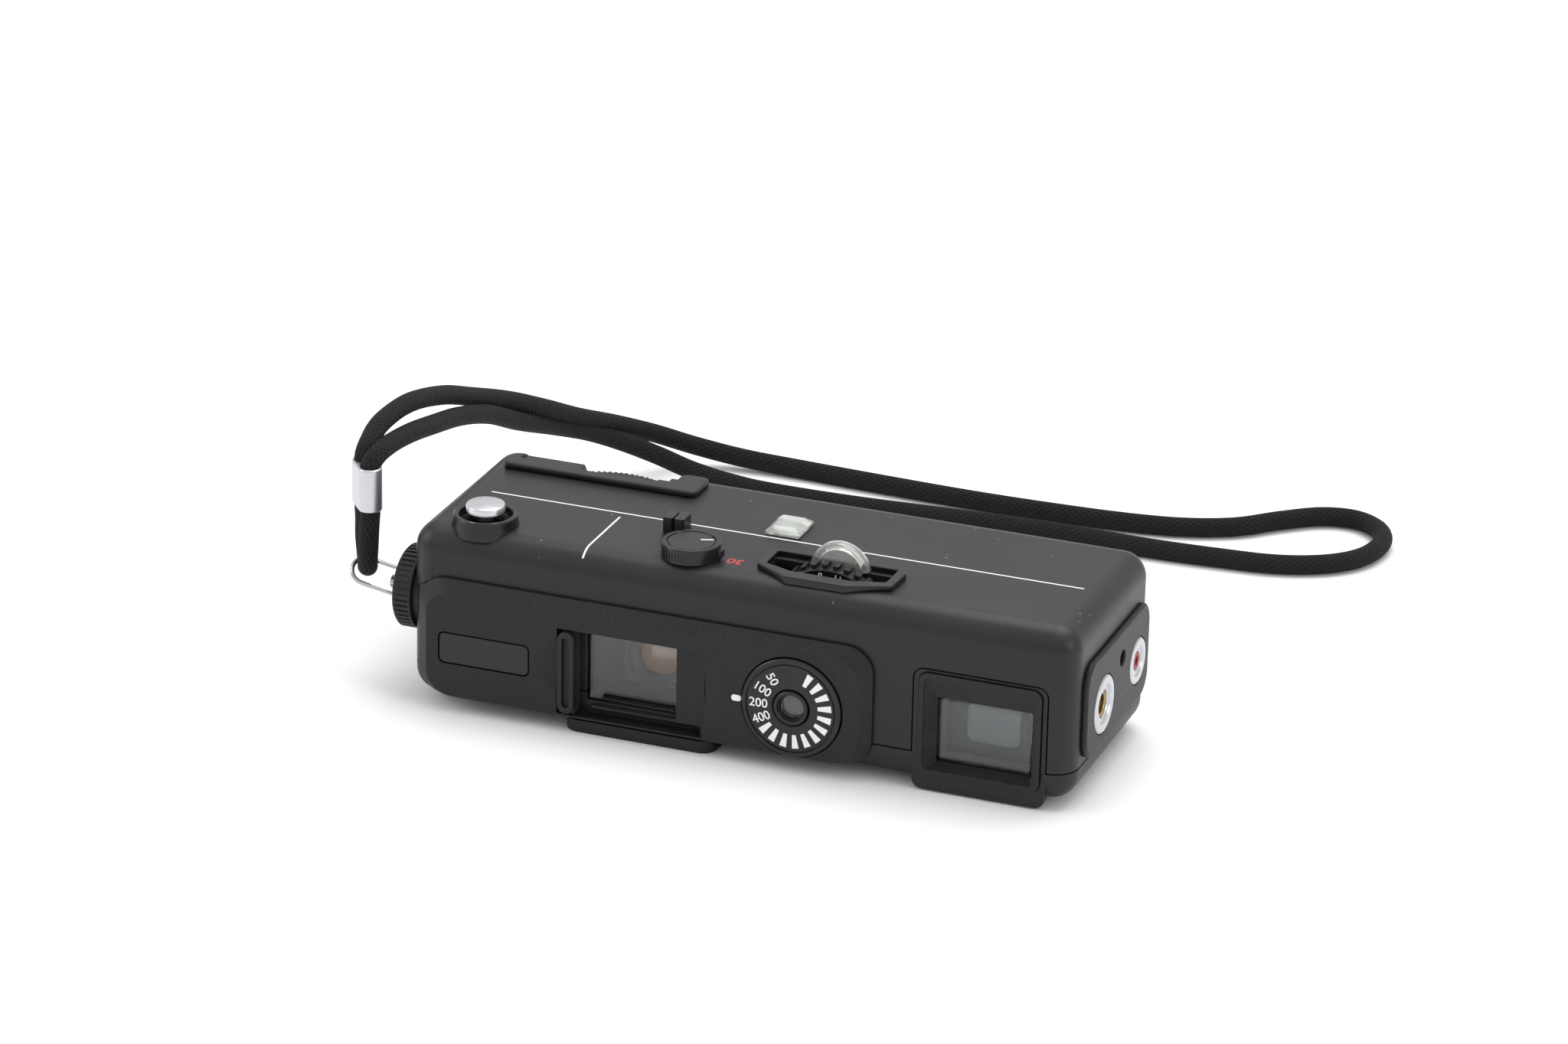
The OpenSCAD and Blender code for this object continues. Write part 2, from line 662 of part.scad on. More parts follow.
module scale_disc() {
    color([0.13, 0.13, 0.14]) difference() {
        rod_y(expo[0], expo[2], expo[1] - 1.4, expo[1] - 0.6, expo_r - 0.6);
        rod_y(expo[0], expo[2], expo[1] - 2, expo[1], 1.05);
    }
}

module wheel_axle() {
    color("silver") rod_y(expo[0], expo[2], expo[1] - 2.6, expo[1] + 3, 1);
}

// Six-sided frame round the opening for the wheel
module wheel_bezel() {
    color([0.1, 0.1, 0.11]) difference() {
        translate([0, 0, top_z - 0.6]) linear_extrude(1.5) polygon([[1.2, -12.2], [6.6, -15.6],
            [17.6, -15.6], [23.4, -12.2], [23.4, -5.4], [1.2, -5.4]]);
        translate([0, 0, top_z - 1]) linear_extrude(3) polygon([[2.4, -11.6], [6.9, -13.2],
            [17.2, -13.2], [21.9, -11.6], [21.9, -6.1], [2.4, -6.1]]);
        body_form(-0.02);
    }
}

// Clear half-round window over the wheel
module pointer_dome() {
    color([0.85, 0.9, 0.95, 0.3]) difference() {
        intersection() {
            rod_y(expo[0] + 0.6, top_z - 0.6, -8, -6.2, 4.8);
            span([0, -10, top_z + 0.05], [30, 0, top_z + 6]);
        }
        intersection() {
            rod_y(expo[0] + 0.6, top_z - 0.6, -7.4, -5, 4);
            span([0, -10, top_z + 0.05], [30, 0, top_z + 6]);
        }
    }
}

// Faceted clear block over the indicator lamps
module meter_jewel() {
    color([0.85, 0.9, 0.75, 0.5]) hull() {
        span([jewel[0] - 2.8, jewel[1] - 3.4, top_z + 0.02], [jewel[0] + 2.8, jewel[1] + 3.4, top_z + 0.7]);
        span([jewel[0] - 1.8, jewel[1] - 2.2, top_z + 0.5], [jewel[0] + 1.8, jewel[1] + 2.2, top_z + 1.4]);
    }
}

module indicator_lamps() {
    color([0.8, 0.4, 0.3]) for (y = [-1.4, 1.4])
        rod_z(jewel[0], jewel[1] + y, top_z - 4, top_z - 0.2, 1.1);
}

// ---------------------------------------------------------------- film transport

// Raised moulding along the rear edge that shrouds the thumb wheel
module winder_housing() {
    color([0.25, 0.25, 0.27]) difference() {
        translate([0, 0, top_z + 0.02]) linear_extrude(1.1) {
            plaque(-50.4, -17.6, 9.6, 12.8, 1.5);
            plaque(-22.3, -17.6, 9.6, 16.5, 1.5);
        }
        span([wind[0] - wind_slot, wind[1] + 5.6, top_z - 1], [wind[0] + wind_slot, rear_y + 1, top_z + 3]);
    }
}

module thumb_wheel() {
    color([0.12, 0.12, 0.13]) difference() {
        translate([wind[0], wind[1], wind_z[0]]) toothed(wind_r, 0.6, wind_teeth, wind_z[1] - wind_z[0]);
        rod_z(wind[0], wind[1], 0, 40, 1.6);
    }
}

module wheel_spindle() {
    color("silver") rod_z(wind[0], wind[1], 23, wind_z[1] + 0.1, 1.6);
}

module frame_counter() {
    color([0.85, 0.85, 0.85]) difference() {
        rod_z(counter[0], counter[1], wind_z[0], wind_z[0] + 0.6, 2.1);
        rod_z(counter[0], counter[1], 20, 30, counter_bore);
    }
}

module film_door() {
    color([0.25, 0.25, 0.27]) difference() {
        union() {
            plate_y(door[0] + 0.2, door[1] - 0.1, door[2] + 0.2, door[3] - 0.2, rear_y - door_t, rear_y, 1.5);
            span([door[1] - 1.2, hinge_c[1] - 0.3, knuckle_z[1] + 0.15], [hinge_c[0], rear_y, knuckle_z[2] - 0.15]);
            rod_z(hinge_c[0], hinge_c[1], knuckle_z[1] + 0.15, knuckle_z[2] - 0.15, knuckle_r);
        }
        rod_z(hinge_c[0], hinge_c[1], 5, 30, pin_r + 0.05);
    }
}

// Leaf, its two knuckles and the pin
module door_hinge() {
    color("silver") {
        rod_z(hinge_c[0], hinge_c[1], knuckle_z[0], knuckle_z[3], pin_r);
        for (z = [[knuckle_z[0], knuckle_z[1]], [knuckle_z[2], knuckle_z[3]]]) {
            rod_z(hinge_c[0], hinge_c[1], z[0], z[1], knuckle_r);
            span([hinge_c[0], rear_y - wall - 0.02, z[0]], [28.35, hinge_c[1], z[1]]);
        }
    }
}

// ---------------------------------------------------------------- underside

// Pad with a front lip under the lens and a wide rear part
module base_pad() {
    color([0.15, 0.15, 0.16]) difference() {
        linear_extrude(pad_h + 0.9) {
            plaque(lens_x - 12.4, lens_x + 12.4, -19, 16, 2.5);
            plaque(lens_x - 12.4, 44, -6, 16, 2.5);
        }
        body_form(-0.01);
        rod_z(lens_x, 0, -1, 3, bush_r + 0.1);
    }
}

module tripod_bush() {
    color([0.7, 0.6, 0.4]) difference() {
        union() {
            rod_z(lens_x, 0, 0, floor_z + 1, bush_r);
            rod_z(lens_x, 0, floor_z + 0.02, floor_z + 1, 5.5);
        }
        rod_z(lens_x, 0, -1, floor_z + 0.2, tripod_r);
    }
}

// ---------------------------------------------------------------- battery cap and strap

module battery_cap() {
    color([0.15, 0.15, 0.16]) difference() {
        union() {
            translate([-half_w - 0.1, cap_c[0], cap_c[1]]) rotate([0, -90, 0])
                toothed(cap_r, 0.3, cap_ribs, -half_w - 0.1 - cap_x);
            rod_x(cap_c[0], cap_c[1], -half_w - 0.11, -half_w + 2.3, plug_r);
        }
        rod_x(cap_c[0], cap_c[1], -80, -40, 1.15);
        rod_x(cap_c[0], cap_c[1], cap_x - 1, cap_x + 0.5, 4.4);
    }
}

module strap_stud() {
    color("silver") {
        rod_x(cap_c[0], cap_c[1], cap_x - 2.6, -half_w + 2, 1.05);
        rod_x(cap_c[0], cap_c[1], cap_x - 0.4, cap_x - 0.1, 1.9);
    }
}

// Wire bail pinned to the stud: two legs, a cross pin and the bow
module strap_bail() {
    r = bail_wire / 2;
    half = 2.2;
    color("silver") translate([cap_x - 1.8, cap_c[0], cap_c[1]]) rotate([40, 0, 0]) rotate([0, 24, 0]) {
        difference() {
            rod_y(0, 0, -half - r, half + r, r);
            rod_y(0, 0, -1.06, 1.06, 2);
        }
        for (y = [-half, half]) rod_x(y, 0, -5.2, r, r);
        translate([-5.2, 0, 0]) rotate([0, 0, 90]) rotate_extrude(angle = 180) translate([half, 0]) circle(r = r);
    }
}

// Crimped tube that closes the strap
module strap_ferrule() {
    color("silver") translate([0, 0, ferrule_z[0]]) linear_extrude(ferrule_z[1] - ferrule_z[0])
        hull() for (p = ferrule_c) translate(p) circle(r = cord_d / 2 + 0.3, $fn = 32);
}

module strap_cord() {
    color([0.25, 0.25, 0.26]) {
        swept(strap_route, cord_d);
        swept(smooth(loop_route, 2), cord_d);
    }
}

top_shell();
base_shell();
front_panel();
name_plate();
index_mark();
lens_surround();
lens_window();
lens_cover();
cover_grip();
asa_dial();
cell_bezel();
cell_lens();
photocell();
lens_barrel();
front_lens();
rear_lens();
shutter_blade();
aperture_blade();
film_gate();
pressure_plate();
film_cassette();
takeup_spool();
circuit_board();
battery();
battery_contact();
viewfinder_bezel();
finder_glass();
finder_objective();
finder_tube();
eyepiece();
end_panel();
flash_ring();
flash_contact();
release_ring();
release_socket();
shutter_collar();
shutter_button();
button_spring();
speed_dial();
speed_cap();
exposure_wheel();
scale_disc();
wheel_axle();
wheel_bezel();
pointer_dome();
meter_jewel();
indicator_lamps();
winder_housing();
thumb_wheel();
wheel_spindle();
frame_counter();
film_door();
door_hinge();
base_pad();
tripod_bush();
battery_cap();
strap_stud();
strap_bail();
strap_ferrule();
strap_cord();
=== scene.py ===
"""Looks of a subminiature camera on its wrist strap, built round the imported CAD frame."""

import logging
import math
from dataclasses import dataclass
from enum import Enum
from typing import Iterable, Optional, Sequence

import bmesh
import bpy
from mathutils import Matrix, Vector


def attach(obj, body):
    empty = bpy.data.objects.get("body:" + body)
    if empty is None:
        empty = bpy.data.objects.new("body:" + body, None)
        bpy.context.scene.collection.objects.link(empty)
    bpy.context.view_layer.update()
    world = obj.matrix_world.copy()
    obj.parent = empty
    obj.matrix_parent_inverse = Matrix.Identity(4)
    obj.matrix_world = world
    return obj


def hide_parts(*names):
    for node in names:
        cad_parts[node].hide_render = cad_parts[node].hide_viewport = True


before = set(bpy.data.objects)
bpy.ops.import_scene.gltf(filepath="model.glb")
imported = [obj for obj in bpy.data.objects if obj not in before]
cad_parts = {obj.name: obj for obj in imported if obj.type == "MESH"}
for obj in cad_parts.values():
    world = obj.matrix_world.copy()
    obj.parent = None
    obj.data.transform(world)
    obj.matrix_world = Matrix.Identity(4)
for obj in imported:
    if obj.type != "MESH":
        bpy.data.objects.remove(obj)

LOG = logging.getLogger("camera")
MM = 0.001
WELD = 0.0005
COAT_ROUGHNESS = 0.12
SHEEN_ROUGHNESS = 0.5
DUST_COLOUR = (0.42, 0.42, 0.44)
Pair = tuple[float, float]
Triple = tuple[float, float, float]

# Corners and rounding of the body, then the axes that more than one class uses, all in millimetres.
BODY_LOW: Triple = (-54.2, -18.0, 1.2)
BODY_HIGH: Triple = (54.2, 20.0, 29.4)
BODY_RADIUS = 4.0
BUSH_AXIS: Pair = (-15.5, 0.0)
DIAL_AXIS: Pair = (10.1, 10.9)
EYE_AXIS: Pair = (40.3, 10.6)
CAP_AXIS: Pair = (-10.6, 16.2)
FLASH_AXIS: Pair = (-5.3, 13.4)
RELEASE_AXIS: Pair = (11.3, 13.9)
PIN_HOLE: Pair = (3.2, 17.6)
PIN_RADIUS = 1.3
BUTTON_AXIS: Pair = (-43.6, -12.5)
SPEED_AXIS: Pair = (-9.85, -11.6)
THUMB_AXIS: Pair = (-32.5, 6.2)


class Axis(Enum):
    """Direction that a turned or flat piece is built along."""

    X = "x"
    Y = "y"
    Z = "z"


UPRIGHT = Matrix(((1, 0, 0, 0), (0, 0, 1, 0), (0, 1, 0, 0), (0, 0, 0, 1)))
PLACE: dict[Axis, Matrix] = {
    Axis.X: Matrix(((0, 0, 1, 0), (1, 0, 0, 0), (0, 1, 0, 0), (0, 0, 0, 1))),
    Axis.Y: UPRIGHT,
    Axis.Z: Matrix.Identity(4),
}


class Grain(Enum):
    """Surface texture of a finish."""

    SATIN = "satin"
    LEATHER = "leather"
    BRUSHED = "brushed"
    BRAID = "braid"
    SMOOTH = "smooth"


# ---------------------------------------------------------------- materials


class Graph:
    """Short way to add and join nodes in one node tree."""

    def __init__(self, tree: bpy.types.NodeTree) -> None:
        """Keeps the tree that nodes are added to."""
        self.tree = tree

    def add(self, kind: str, **values: object) -> bpy.types.Node:
        """Adds a node.

        Args:
            kind: Blender's name for the node type.
            values: properties of the node, set as they are given.

        Returns:
            The new node.
        """
        node = self.tree.nodes.new(kind)
        for name, value in values.items():
            setattr(node, name, value)
        return node

    def join(self, source: bpy.types.NodeSocket, target: bpy.types.NodeSocket) -> None:
        """Links one socket to another."""
        self.tree.links.new(source, target)

    def math(self, operation: str, *terms: object, clamp: bool = False) -> bpy.types.NodeSocket:
        """Adds a Math node.

        Args:
            operation: Blender's name for the operation.
            terms: sockets or plain numbers, in order.
            clamp: keeps the result between 0 and 1.

        Returns:
            The node's output socket.
        """
        node = self.add("ShaderNodeMath", operation=operation, use_clamp=clamp)
        for index, term in enumerate(terms):
            if isinstance(term, bpy.types.NodeSocket):
                self.join(term, node.inputs[index])
            else:
                node.inputs[index].default_value = float(term)
        return node.outputs[0]

    def ramp(self, source: bpy.types.NodeSocket, low: float, high: float) -> bpy.types.NodeSocket:
        """Maps the span from low to high on to 0 to 1, smoothly."""
        node = self.add("ShaderNodeMapRange", interpolation_type="SMOOTHSTEP")
        self.join(source, node.inputs["Value"])
        node.inputs["From Min"].default_value = low
        node.inputs["From Max"].default_value = high
        return node.outputs["Result"]

    def noise(
        self, vector: bpy.types.NodeSocket, scale: object, detail: float = 3.0
    ) -> bpy.types.NodeSocket:
        """Adds a noise texture and returns its value."""
        node = self.add("ShaderNodeTexNoise")
        self.join(vector, node.inputs["Vector"])
        node.inputs["Detail"].default_value = detail
        if isinstance(scale, bpy.types.NodeSocket):
            self.join(scale, node.inputs["Scale"])
        else:
            node.inputs["Scale"].default_value = float(scale)
        return node.outputs["Fac"]


def link(item: bpy.types.Object) -> None:
    """Puts an object in the scene."""
    bpy.context.scene.collection.objects.link(item)


def new_group(
    name: str, takes: Sequence[str], gives: Sequence[str]
) -> tuple[Graph, bpy.types.Node, bpy.types.Node]:
    """Starts a shader node group.

    Args:
        name: name of the group.
        takes: input names; one called Vector is a vector and the rest are numbers.
        gives: output names, all numbers.

    Returns:
        The group's graph, its input node and its output node.
    """
    tree = bpy.data.node_groups.new(name, "ShaderNodeTree")
    for title in takes:
        kind = "NodeSocketVector" if title == "Vector" else "NodeSocketFloat"
        tree.interface.new_socket(name=title, in_out="INPUT", socket_type=kind)
    for title in gives:
        tree.interface.new_socket(name=title, in_out="OUTPUT", socket_type="NodeSocketFloat")
    graph = Graph(tree)
    return graph, graph.add("NodeGroupInput"), graph.add("NodeGroupOutput")


def satin_group() -> bpy.types.NodeTree:
    """Builds the fine orange-peel of moulded plastic and enamel."""
    graph, start, end = new_group("satin_skin", ("Vector", "Scale"), ("Height", "Tone"))
    fine = graph.noise(start.outputs["Vector"], start.outputs["Scale"], 2.0)
    broad = graph.noise(start.outputs["Vector"], 60.0, 3.0)
    graph.join(fine, end.inputs["Height"])
    graph.join(broad, end.inputs["Tone"])
    return graph.tree


def leather_group() -> bpy.types.NodeTree:
    """Builds the pebbled grain of the front and end panels."""
    graph, start, end = new_group("pebble_grain", ("Vector", "Scale"), ("Height", "Tone"))
    cells = graph.add("ShaderNodeTexVoronoi", feature="SMOOTH_F1")
    cells.inputs["Smoothness"].default_value = 0.6
    graph.join(start.outputs["Vector"], cells.inputs["Vector"])
    graph.join(start.outputs["Scale"], cells.inputs["Scale"])
    fine = graph.noise(start.outputs["Vector"], graph.math("MULTIPLY", start.outputs["Scale"], 1.7), 3.0)
    height = graph.math(
        "ADD", graph.math("SUBTRACT", 1.0, cells.outputs["Distance"]), graph.math("MULTIPLY", fine, 0.8)
    )
    graph.join(height, end.inputs["Height"])
    graph.join(graph.ramp(height, 0.7, 1.6), end.inputs["Tone"])
    return graph.tree


def brushed_group() -> bpy.types.NodeTree:
    """Builds the faint turned lines of bright metal."""
    graph, start, end = new_group("turned_lines", ("Vector", "Scale"), ("Height", "Tone"))
    mapping = graph.add("ShaderNodeMapping")
    mapping.inputs["Scale"].default_value = (1.0, 1.0, 14.0)
    graph.join(start.outputs["Vector"], mapping.inputs["Vector"])
    lines = graph.noise(mapping.outputs["Vector"], start.outputs["Scale"], 4.0)
    graph.join(lines, end.inputs["Height"])
    graph.join(lines, end.inputs["Tone"])
    return graph.tree


def braid_group() -> bpy.types.NodeTree:
    """Builds the crossing strands of a braid from the cord's own UV map."""
    graph, start, end = new_group("braid_weave", ("Vector", "Scale"), ("Height", "Tone"))
    parts = graph.add("ShaderNodeSeparateXYZ")
    graph.join(start.outputs["Vector"], parts.inputs["Vector"])
    around = graph.math("MULTIPLY", parts.outputs["X"], 2.0 * math.pi * 6.0)
    along = graph.math("MULTIPLY", parts.outputs["Y"], start.outputs["Scale"])
    right = graph.math("SINE", graph.math("ADD", around, along))
    left = graph.math("SINE", graph.math("SUBTRACT", around, along))
    over = graph.math(
        "MAXIMUM", graph.math("ABSOLUTE", right), graph.math("MULTIPLY", graph.math("ABSOLUTE", left), 0.9)
    )
    fibre = graph.noise(start.outputs["Vector"], 900.0, 2.0)
    graph.join(graph.math("ADD", over, graph.math("MULTIPLY", fibre, 0.25)), end.inputs["Height"])
    graph.join(graph.ramp(over, 0.55, 1.0), end.inputs["Tone"])
    return graph.tree


def wear_group() -> bpy.types.NodeTree:
    """Builds a mask of rubbed edges, broken up by noise."""
    graph, start, end = new_group("edge_wear", ("Vector", "Amount"), ("Mask",))
    rounded = graph.add("ShaderNodeBevel", samples=4)
    rounded.inputs["Radius"].default_value = 0.25 * MM
    flat = graph.add("ShaderNodeNewGeometry")
    dot = graph.add("ShaderNodeVectorMath", operation="DOT_PRODUCT")
    graph.join(rounded.outputs["Normal"], dot.inputs[0])
    graph.join(flat.outputs["Normal"], dot.inputs[1])
    edge = graph.ramp(graph.math("SUBTRACT", 1.0, dot.outputs["Value"]), 0.01, 0.12)
    patches = graph.ramp(graph.noise(start.outputs["Vector"], 420.0, 5.0), 0.42, 0.62)
    mask = graph.math(
        "MULTIPLY", graph.math("MULTIPLY", edge, patches), start.outputs["Amount"], clamp=True
    )
    graph.join(mask, end.inputs["Mask"])
    return graph.tree


def dust_group() -> bpy.types.NodeTree:
    """Builds a mask of sparse dust specks on faces that look upwards."""
    graph, start, end = new_group("dust_specks", ("Vector", "Amount"), ("Mask",))
    geometry = graph.add("ShaderNodeNewGeometry")
    parts = graph.add("ShaderNodeSeparateXYZ")
    graph.join(geometry.outputs["Normal"], parts.inputs["Vector"])
    up = graph.ramp(parts.outputs["Z"], 0.1, 0.8)
    specks = graph.add("ShaderNodeTexVoronoi", feature="F1")
    specks.inputs["Scale"].default_value = 520.0
    graph.join(start.outputs["Vector"], specks.inputs["Vector"])
    chosen = graph.ramp(graph.noise(start.outputs["Vector"], 160.0, 2.0), 0.6, 0.66)
    dots = graph.math("SUBTRACT", 1.0, graph.ramp(specks.outputs["Distance"], 0.06, 0.16))
    film = graph.math("MULTIPLY", graph.noise(start.outputs["Vector"], 45.0, 4.0), 0.12)
    both = graph.math("ADD", graph.math("MULTIPLY", dots, chosen), film)
    mask = graph.math("MULTIPLY", graph.math("MULTIPLY", both, up), start.outputs["Amount"], clamp=True)
    graph.join(mask, end.inputs["Mask"])
    return graph.tree


GROUPS: dict[str, bpy.types.NodeTree] = {}


def group_tree(name: str) -> bpy.types.NodeTree:
    """Returns the shared node group of that name, building it the first time."""
    makers = {
        "satin": satin_group,
        "leather": leather_group,
        "brushed": brushed_group,
        "braid": braid_group,
        "wear": wear_group,
        "dust": dust_group,
    }
    if name not in GROUPS:
        GROUPS[name] = makers[name]()
    return GROUPS[name]


@dataclass(frozen=True)
class Finish:
    """One surface finish, with everything its material needs."""

    name: str
    colour: Triple
    roughness: float
    metallic: float = 0.0
    grain: Grain = Grain.SATIN
    grain_scale: float = 2600.0
    grain_height: float = 0.02
    tone: float = 0.25
    wear: float = 0.0
    dust: float = 0.0
    coat: float = 0.0
    sheen: float = 0.0
    transmission: float = 0.0
    specular: float = 0.5
    ior: float = 1.47

    def material(self) -> bpy.types.Material:
        """Returns this finish's material, building it the first time."""
        found = bpy.data.materials.get(self.name)
        if found:
            return found
        material = bpy.data.materials.new(self.name)
        material.use_nodes = True
        material.node_tree.nodes.clear()
        graph = Graph(material.node_tree)
        output = graph.add("ShaderNodeOutputMaterial")
        shader = graph.add("ShaderNodeBsdfPrincipled")
        graph.join(shader.outputs["BSDF"], output.inputs["Surface"])
        values = {
            "Metallic": self.metallic, "IOR": self.ior, "Specular IOR Level": self.specular,
            "Coat Weight": self.coat, "Coat Roughness": COAT_ROUGHNESS,
            "Sheen Weight": self.sheen, "Sheen Roughness": SHEEN_ROUGHNESS,
            "Transmission Weight": self.transmission, "Roughness": self.roughness,
            "Base Color": (*self.colour, 1.0),
        }
        for name, value in values.items():
            shader.inputs[name].default_value = value
        if self.transmission == 0.0 or self.grain is not Grain.SMOOTH:
            self._dress(graph, shader)
        return material

    def _dress(self, graph: Graph, shader: bpy.types.Node) -> None:
        """Feeds the shader's colour, roughness and normal from the shared groups.

        Args:
            graph: graph of this finish's material.
            shader: its Principled BSDF.
        """
        place = graph.add("ShaderNodeTexCoord")
        vector = place.outputs["UV" if self.grain is Grain.BRAID else "Object"]
        kind = "satin" if self.grain is Grain.SMOOTH else self.grain.value
        skin = self._group(graph, kind, vector, "Scale", self.grain_scale)
        tone = graph.add("ShaderNodeMix", data_type="RGBA")
        graph.join(skin.outputs["Tone"], tone.inputs["Factor"])
        tone.inputs["A"].default_value = (*[c * (1.0 - self.tone) for c in self.colour], 1.0)
        tone.inputs["B"].default_value = (*[min(1.0, c * (1.0 + self.tone)) for c in self.colour], 1.0)
        colour = tone.outputs["Result"]
        rough = graph.math("ADD", graph.math("MULTIPLY", skin.outputs["Tone"], 0.12), self.roughness - 0.06)
        if self.wear:
            mask = self._group(graph, "wear", place.outputs["Object"], "Amount", self.wear).outputs["Mask"]
            colour = self._blend(graph, mask, colour, tuple(min(1.0, c * 2.2 + 0.05) for c in self.colour))
            rough = graph.math("SUBTRACT", rough, graph.math("MULTIPLY", mask, 0.15))
        if self.dust:
            mask = self._group(graph, "dust", place.outputs["Object"], "Amount", self.dust).outputs["Mask"]
            colour = self._blend(graph, mask, colour, DUST_COLOUR)
            rough = graph.math("ADD", rough, graph.math("MULTIPLY", mask, 0.3), clamp=True)
        graph.join(colour, shader.inputs["Base Color"])
        graph.join(rough, shader.inputs["Roughness"])
        if self.grain is not Grain.SMOOTH:
            bump = graph.add("ShaderNodeBump")
            bump.inputs["Strength"].default_value = 1.0
            bump.inputs["Distance"].default_value = self.grain_height * MM
            graph.join(skin.outputs["Height"], bump.inputs["Height"])
            graph.join(bump.outputs["Normal"], shader.inputs["Normal"])

    @staticmethod
    def _group(
        graph: Graph, kind: str, vector: bpy.types.NodeSocket, title: str, value: float
    ) -> bpy.types.Node:
        """Places a shared group, fed by a vector and one number."""
        node = graph.add("ShaderNodeGroup", node_tree=group_tree(kind))
        graph.join(vector, node.inputs["Vector"])
        node.inputs[title].default_value = value
        return node

    @staticmethod
    def _blend(
        graph: Graph, mask: bpy.types.NodeSocket, under: bpy.types.NodeSocket, over: Triple
    ) -> bpy.types.NodeSocket:
        """Lays one colour over another where the mask is white."""
        mix = graph.add("ShaderNodeMix", data_type="RGBA")
        graph.join(mask, mix.inputs["Factor"])
        graph.join(under, mix.inputs["A"])
        mix.inputs["B"].default_value = (*over, 1.0)
        return mix.outputs["Result"]


ENAMEL = Finish(
    "satin_black_enamel", (
        0.0115, 0.0118, 0.0145
    ), 0.4, grain_height=0.004, wear=0.25, dust=0.3, specular=0.36,
)
GRAINED = Finish(
    "grained_black_moulding", (0.0105, 0.0107, 0.0128), 0.5, grain=Grain.LEATHER, grain_scale=2100.0,
    grain_height=0.045, tone=0.35, wear=0.3, dust=0.15, specular=0.34,
)
MOULDED = Finish(
    "matt_black_moulding", (0.009, 0.009, 0.0105), 0.45, grain_height=0.005, wear=0.2, dust=0.12,
    specular=0.36
)
DEEP = Finish("deep_black_interior", (0.02, 0.021, 0.022), 0.6, grain_height=0.004)
GLOSS = Finish(
    "semi_gloss_black", (0.008, 0.008, 0.0095), 0.27, grain_height=0.003, wear=0.25, dust=0.15, specular=0.4
)
PLATE = Finish("blank_plate_black", (0.012, 0.012, 0.016), 0.36, grain_height=0.006, dust=0.1, specular=0.4)
PAINT = Finish("white_paint", (0.8, 0.8, 0.8), 0.5, grain_height=0.003, tone=0.03)
RED_PAINT = Finish("red_paint", (0.6, 0.06, 0.045), 0.5, grain_height=0.003, tone=0.05)
CHROME = Finish(
    "polished_wire", (0.42, 0.42, 0.43), 0.2, metallic=1.0, grain=Grain.BRUSHED, grain_scale=400.0,
    grain_height=0.001, tone=0.04,
)
BUTTON_METAL = Finish(
    "turned_button_metal", (0.66, 0.67, 0.69), 0.3, metallic=1.0, grain=Grain.BRUSHED, grain_scale=900.0,
    grain_height=0.002, tone=0.05,
)
SATIN_METAL = Finish(
    "satin_metal", (0.55, 0.56, 0.58), 0.36, metallic=1.0, grain=Grain.BRUSHED, grain_scale=900.0,
    grain_height=0.004, tone=0.07, wear=0.2,
)
STEEL = Finish(
    "plain_steel", (0.4, 0.4, 0.42), 0.35, metallic=1.0, grain=Grain.BRUSHED, grain_scale=700.0,
    grain_height=0.003, tone=0.1,
)
BLACK_STEEL = Finish(
    "blackened_steel", (0.06, 0.06, 0.065), 0.4, metallic=0.8, grain=Grain.BRUSHED, grain_scale=700.0,
    grain_height=0.002, tone=0.15,
)
BRASS = Finish(
    "dull_brass", (0.42, 0.29, 0.12), 0.36, metallic=1.0, grain=Grain.BRUSHED, grain_scale=800.0,
    grain_height=0.003, tone=0.15,
)
RED_PLASTIC = Finish("red_insulator", (0.24, 0.035, 0.03), 0.45, grain_height=0.005)
BOARD = Finish("resin_board", (0.2, 0.11, 0.03), 0.5, grain_height=0.01)
SENSOR = Finish("dark_light_cell", (0.02, 0.022, 0.03), 0.3, grain_height=0.002)
GLASS = Finish("clear_glass", (0.93, 0.96, 0.97), 0.02, grain=Grain.SMOOTH, transmission=1.0, ior=1.5)
COATED = Finish(
    "amber_coated_glass", (0.62, 0.33, 0.16), 0.05, grain=Grain.SMOOTH, transmission=0.35, coat=0.8, ior=1.6,
)
SMOKED = Finish("smoked_glass", (0.3, 0.33, 0.34), 0.06, grain=Grain.SMOOTH, transmission=0.7, ior=1.5)
ACRYLIC = Finish("clear_acrylic", (0.95, 0.97, 0.93), 0.05, grain=Grain.SMOOTH, transmission=0.85, ior=1.49)
LAMP = Finish("tinted_lamp", (0.5, 0.42, 0.12), 0.2, grain=Grain.SMOOTH, transmission=0.3)
BRAIDED = Finish(
    "braided_black_cord", (0.0095, 0.0095, 0.011), 0.75, grain=Grain.BRAID, grain_scale=2400.0,
    grain_height=0.45, tone=0.55, specular=0.25,
)
FLOOR = Finish("pale_paper", (0.9, 0.9, 0.9), 0.85, grain_height=0.01, grain_scale=500.0, tone=0.004)


# ---------------------------------------------------------------- forms


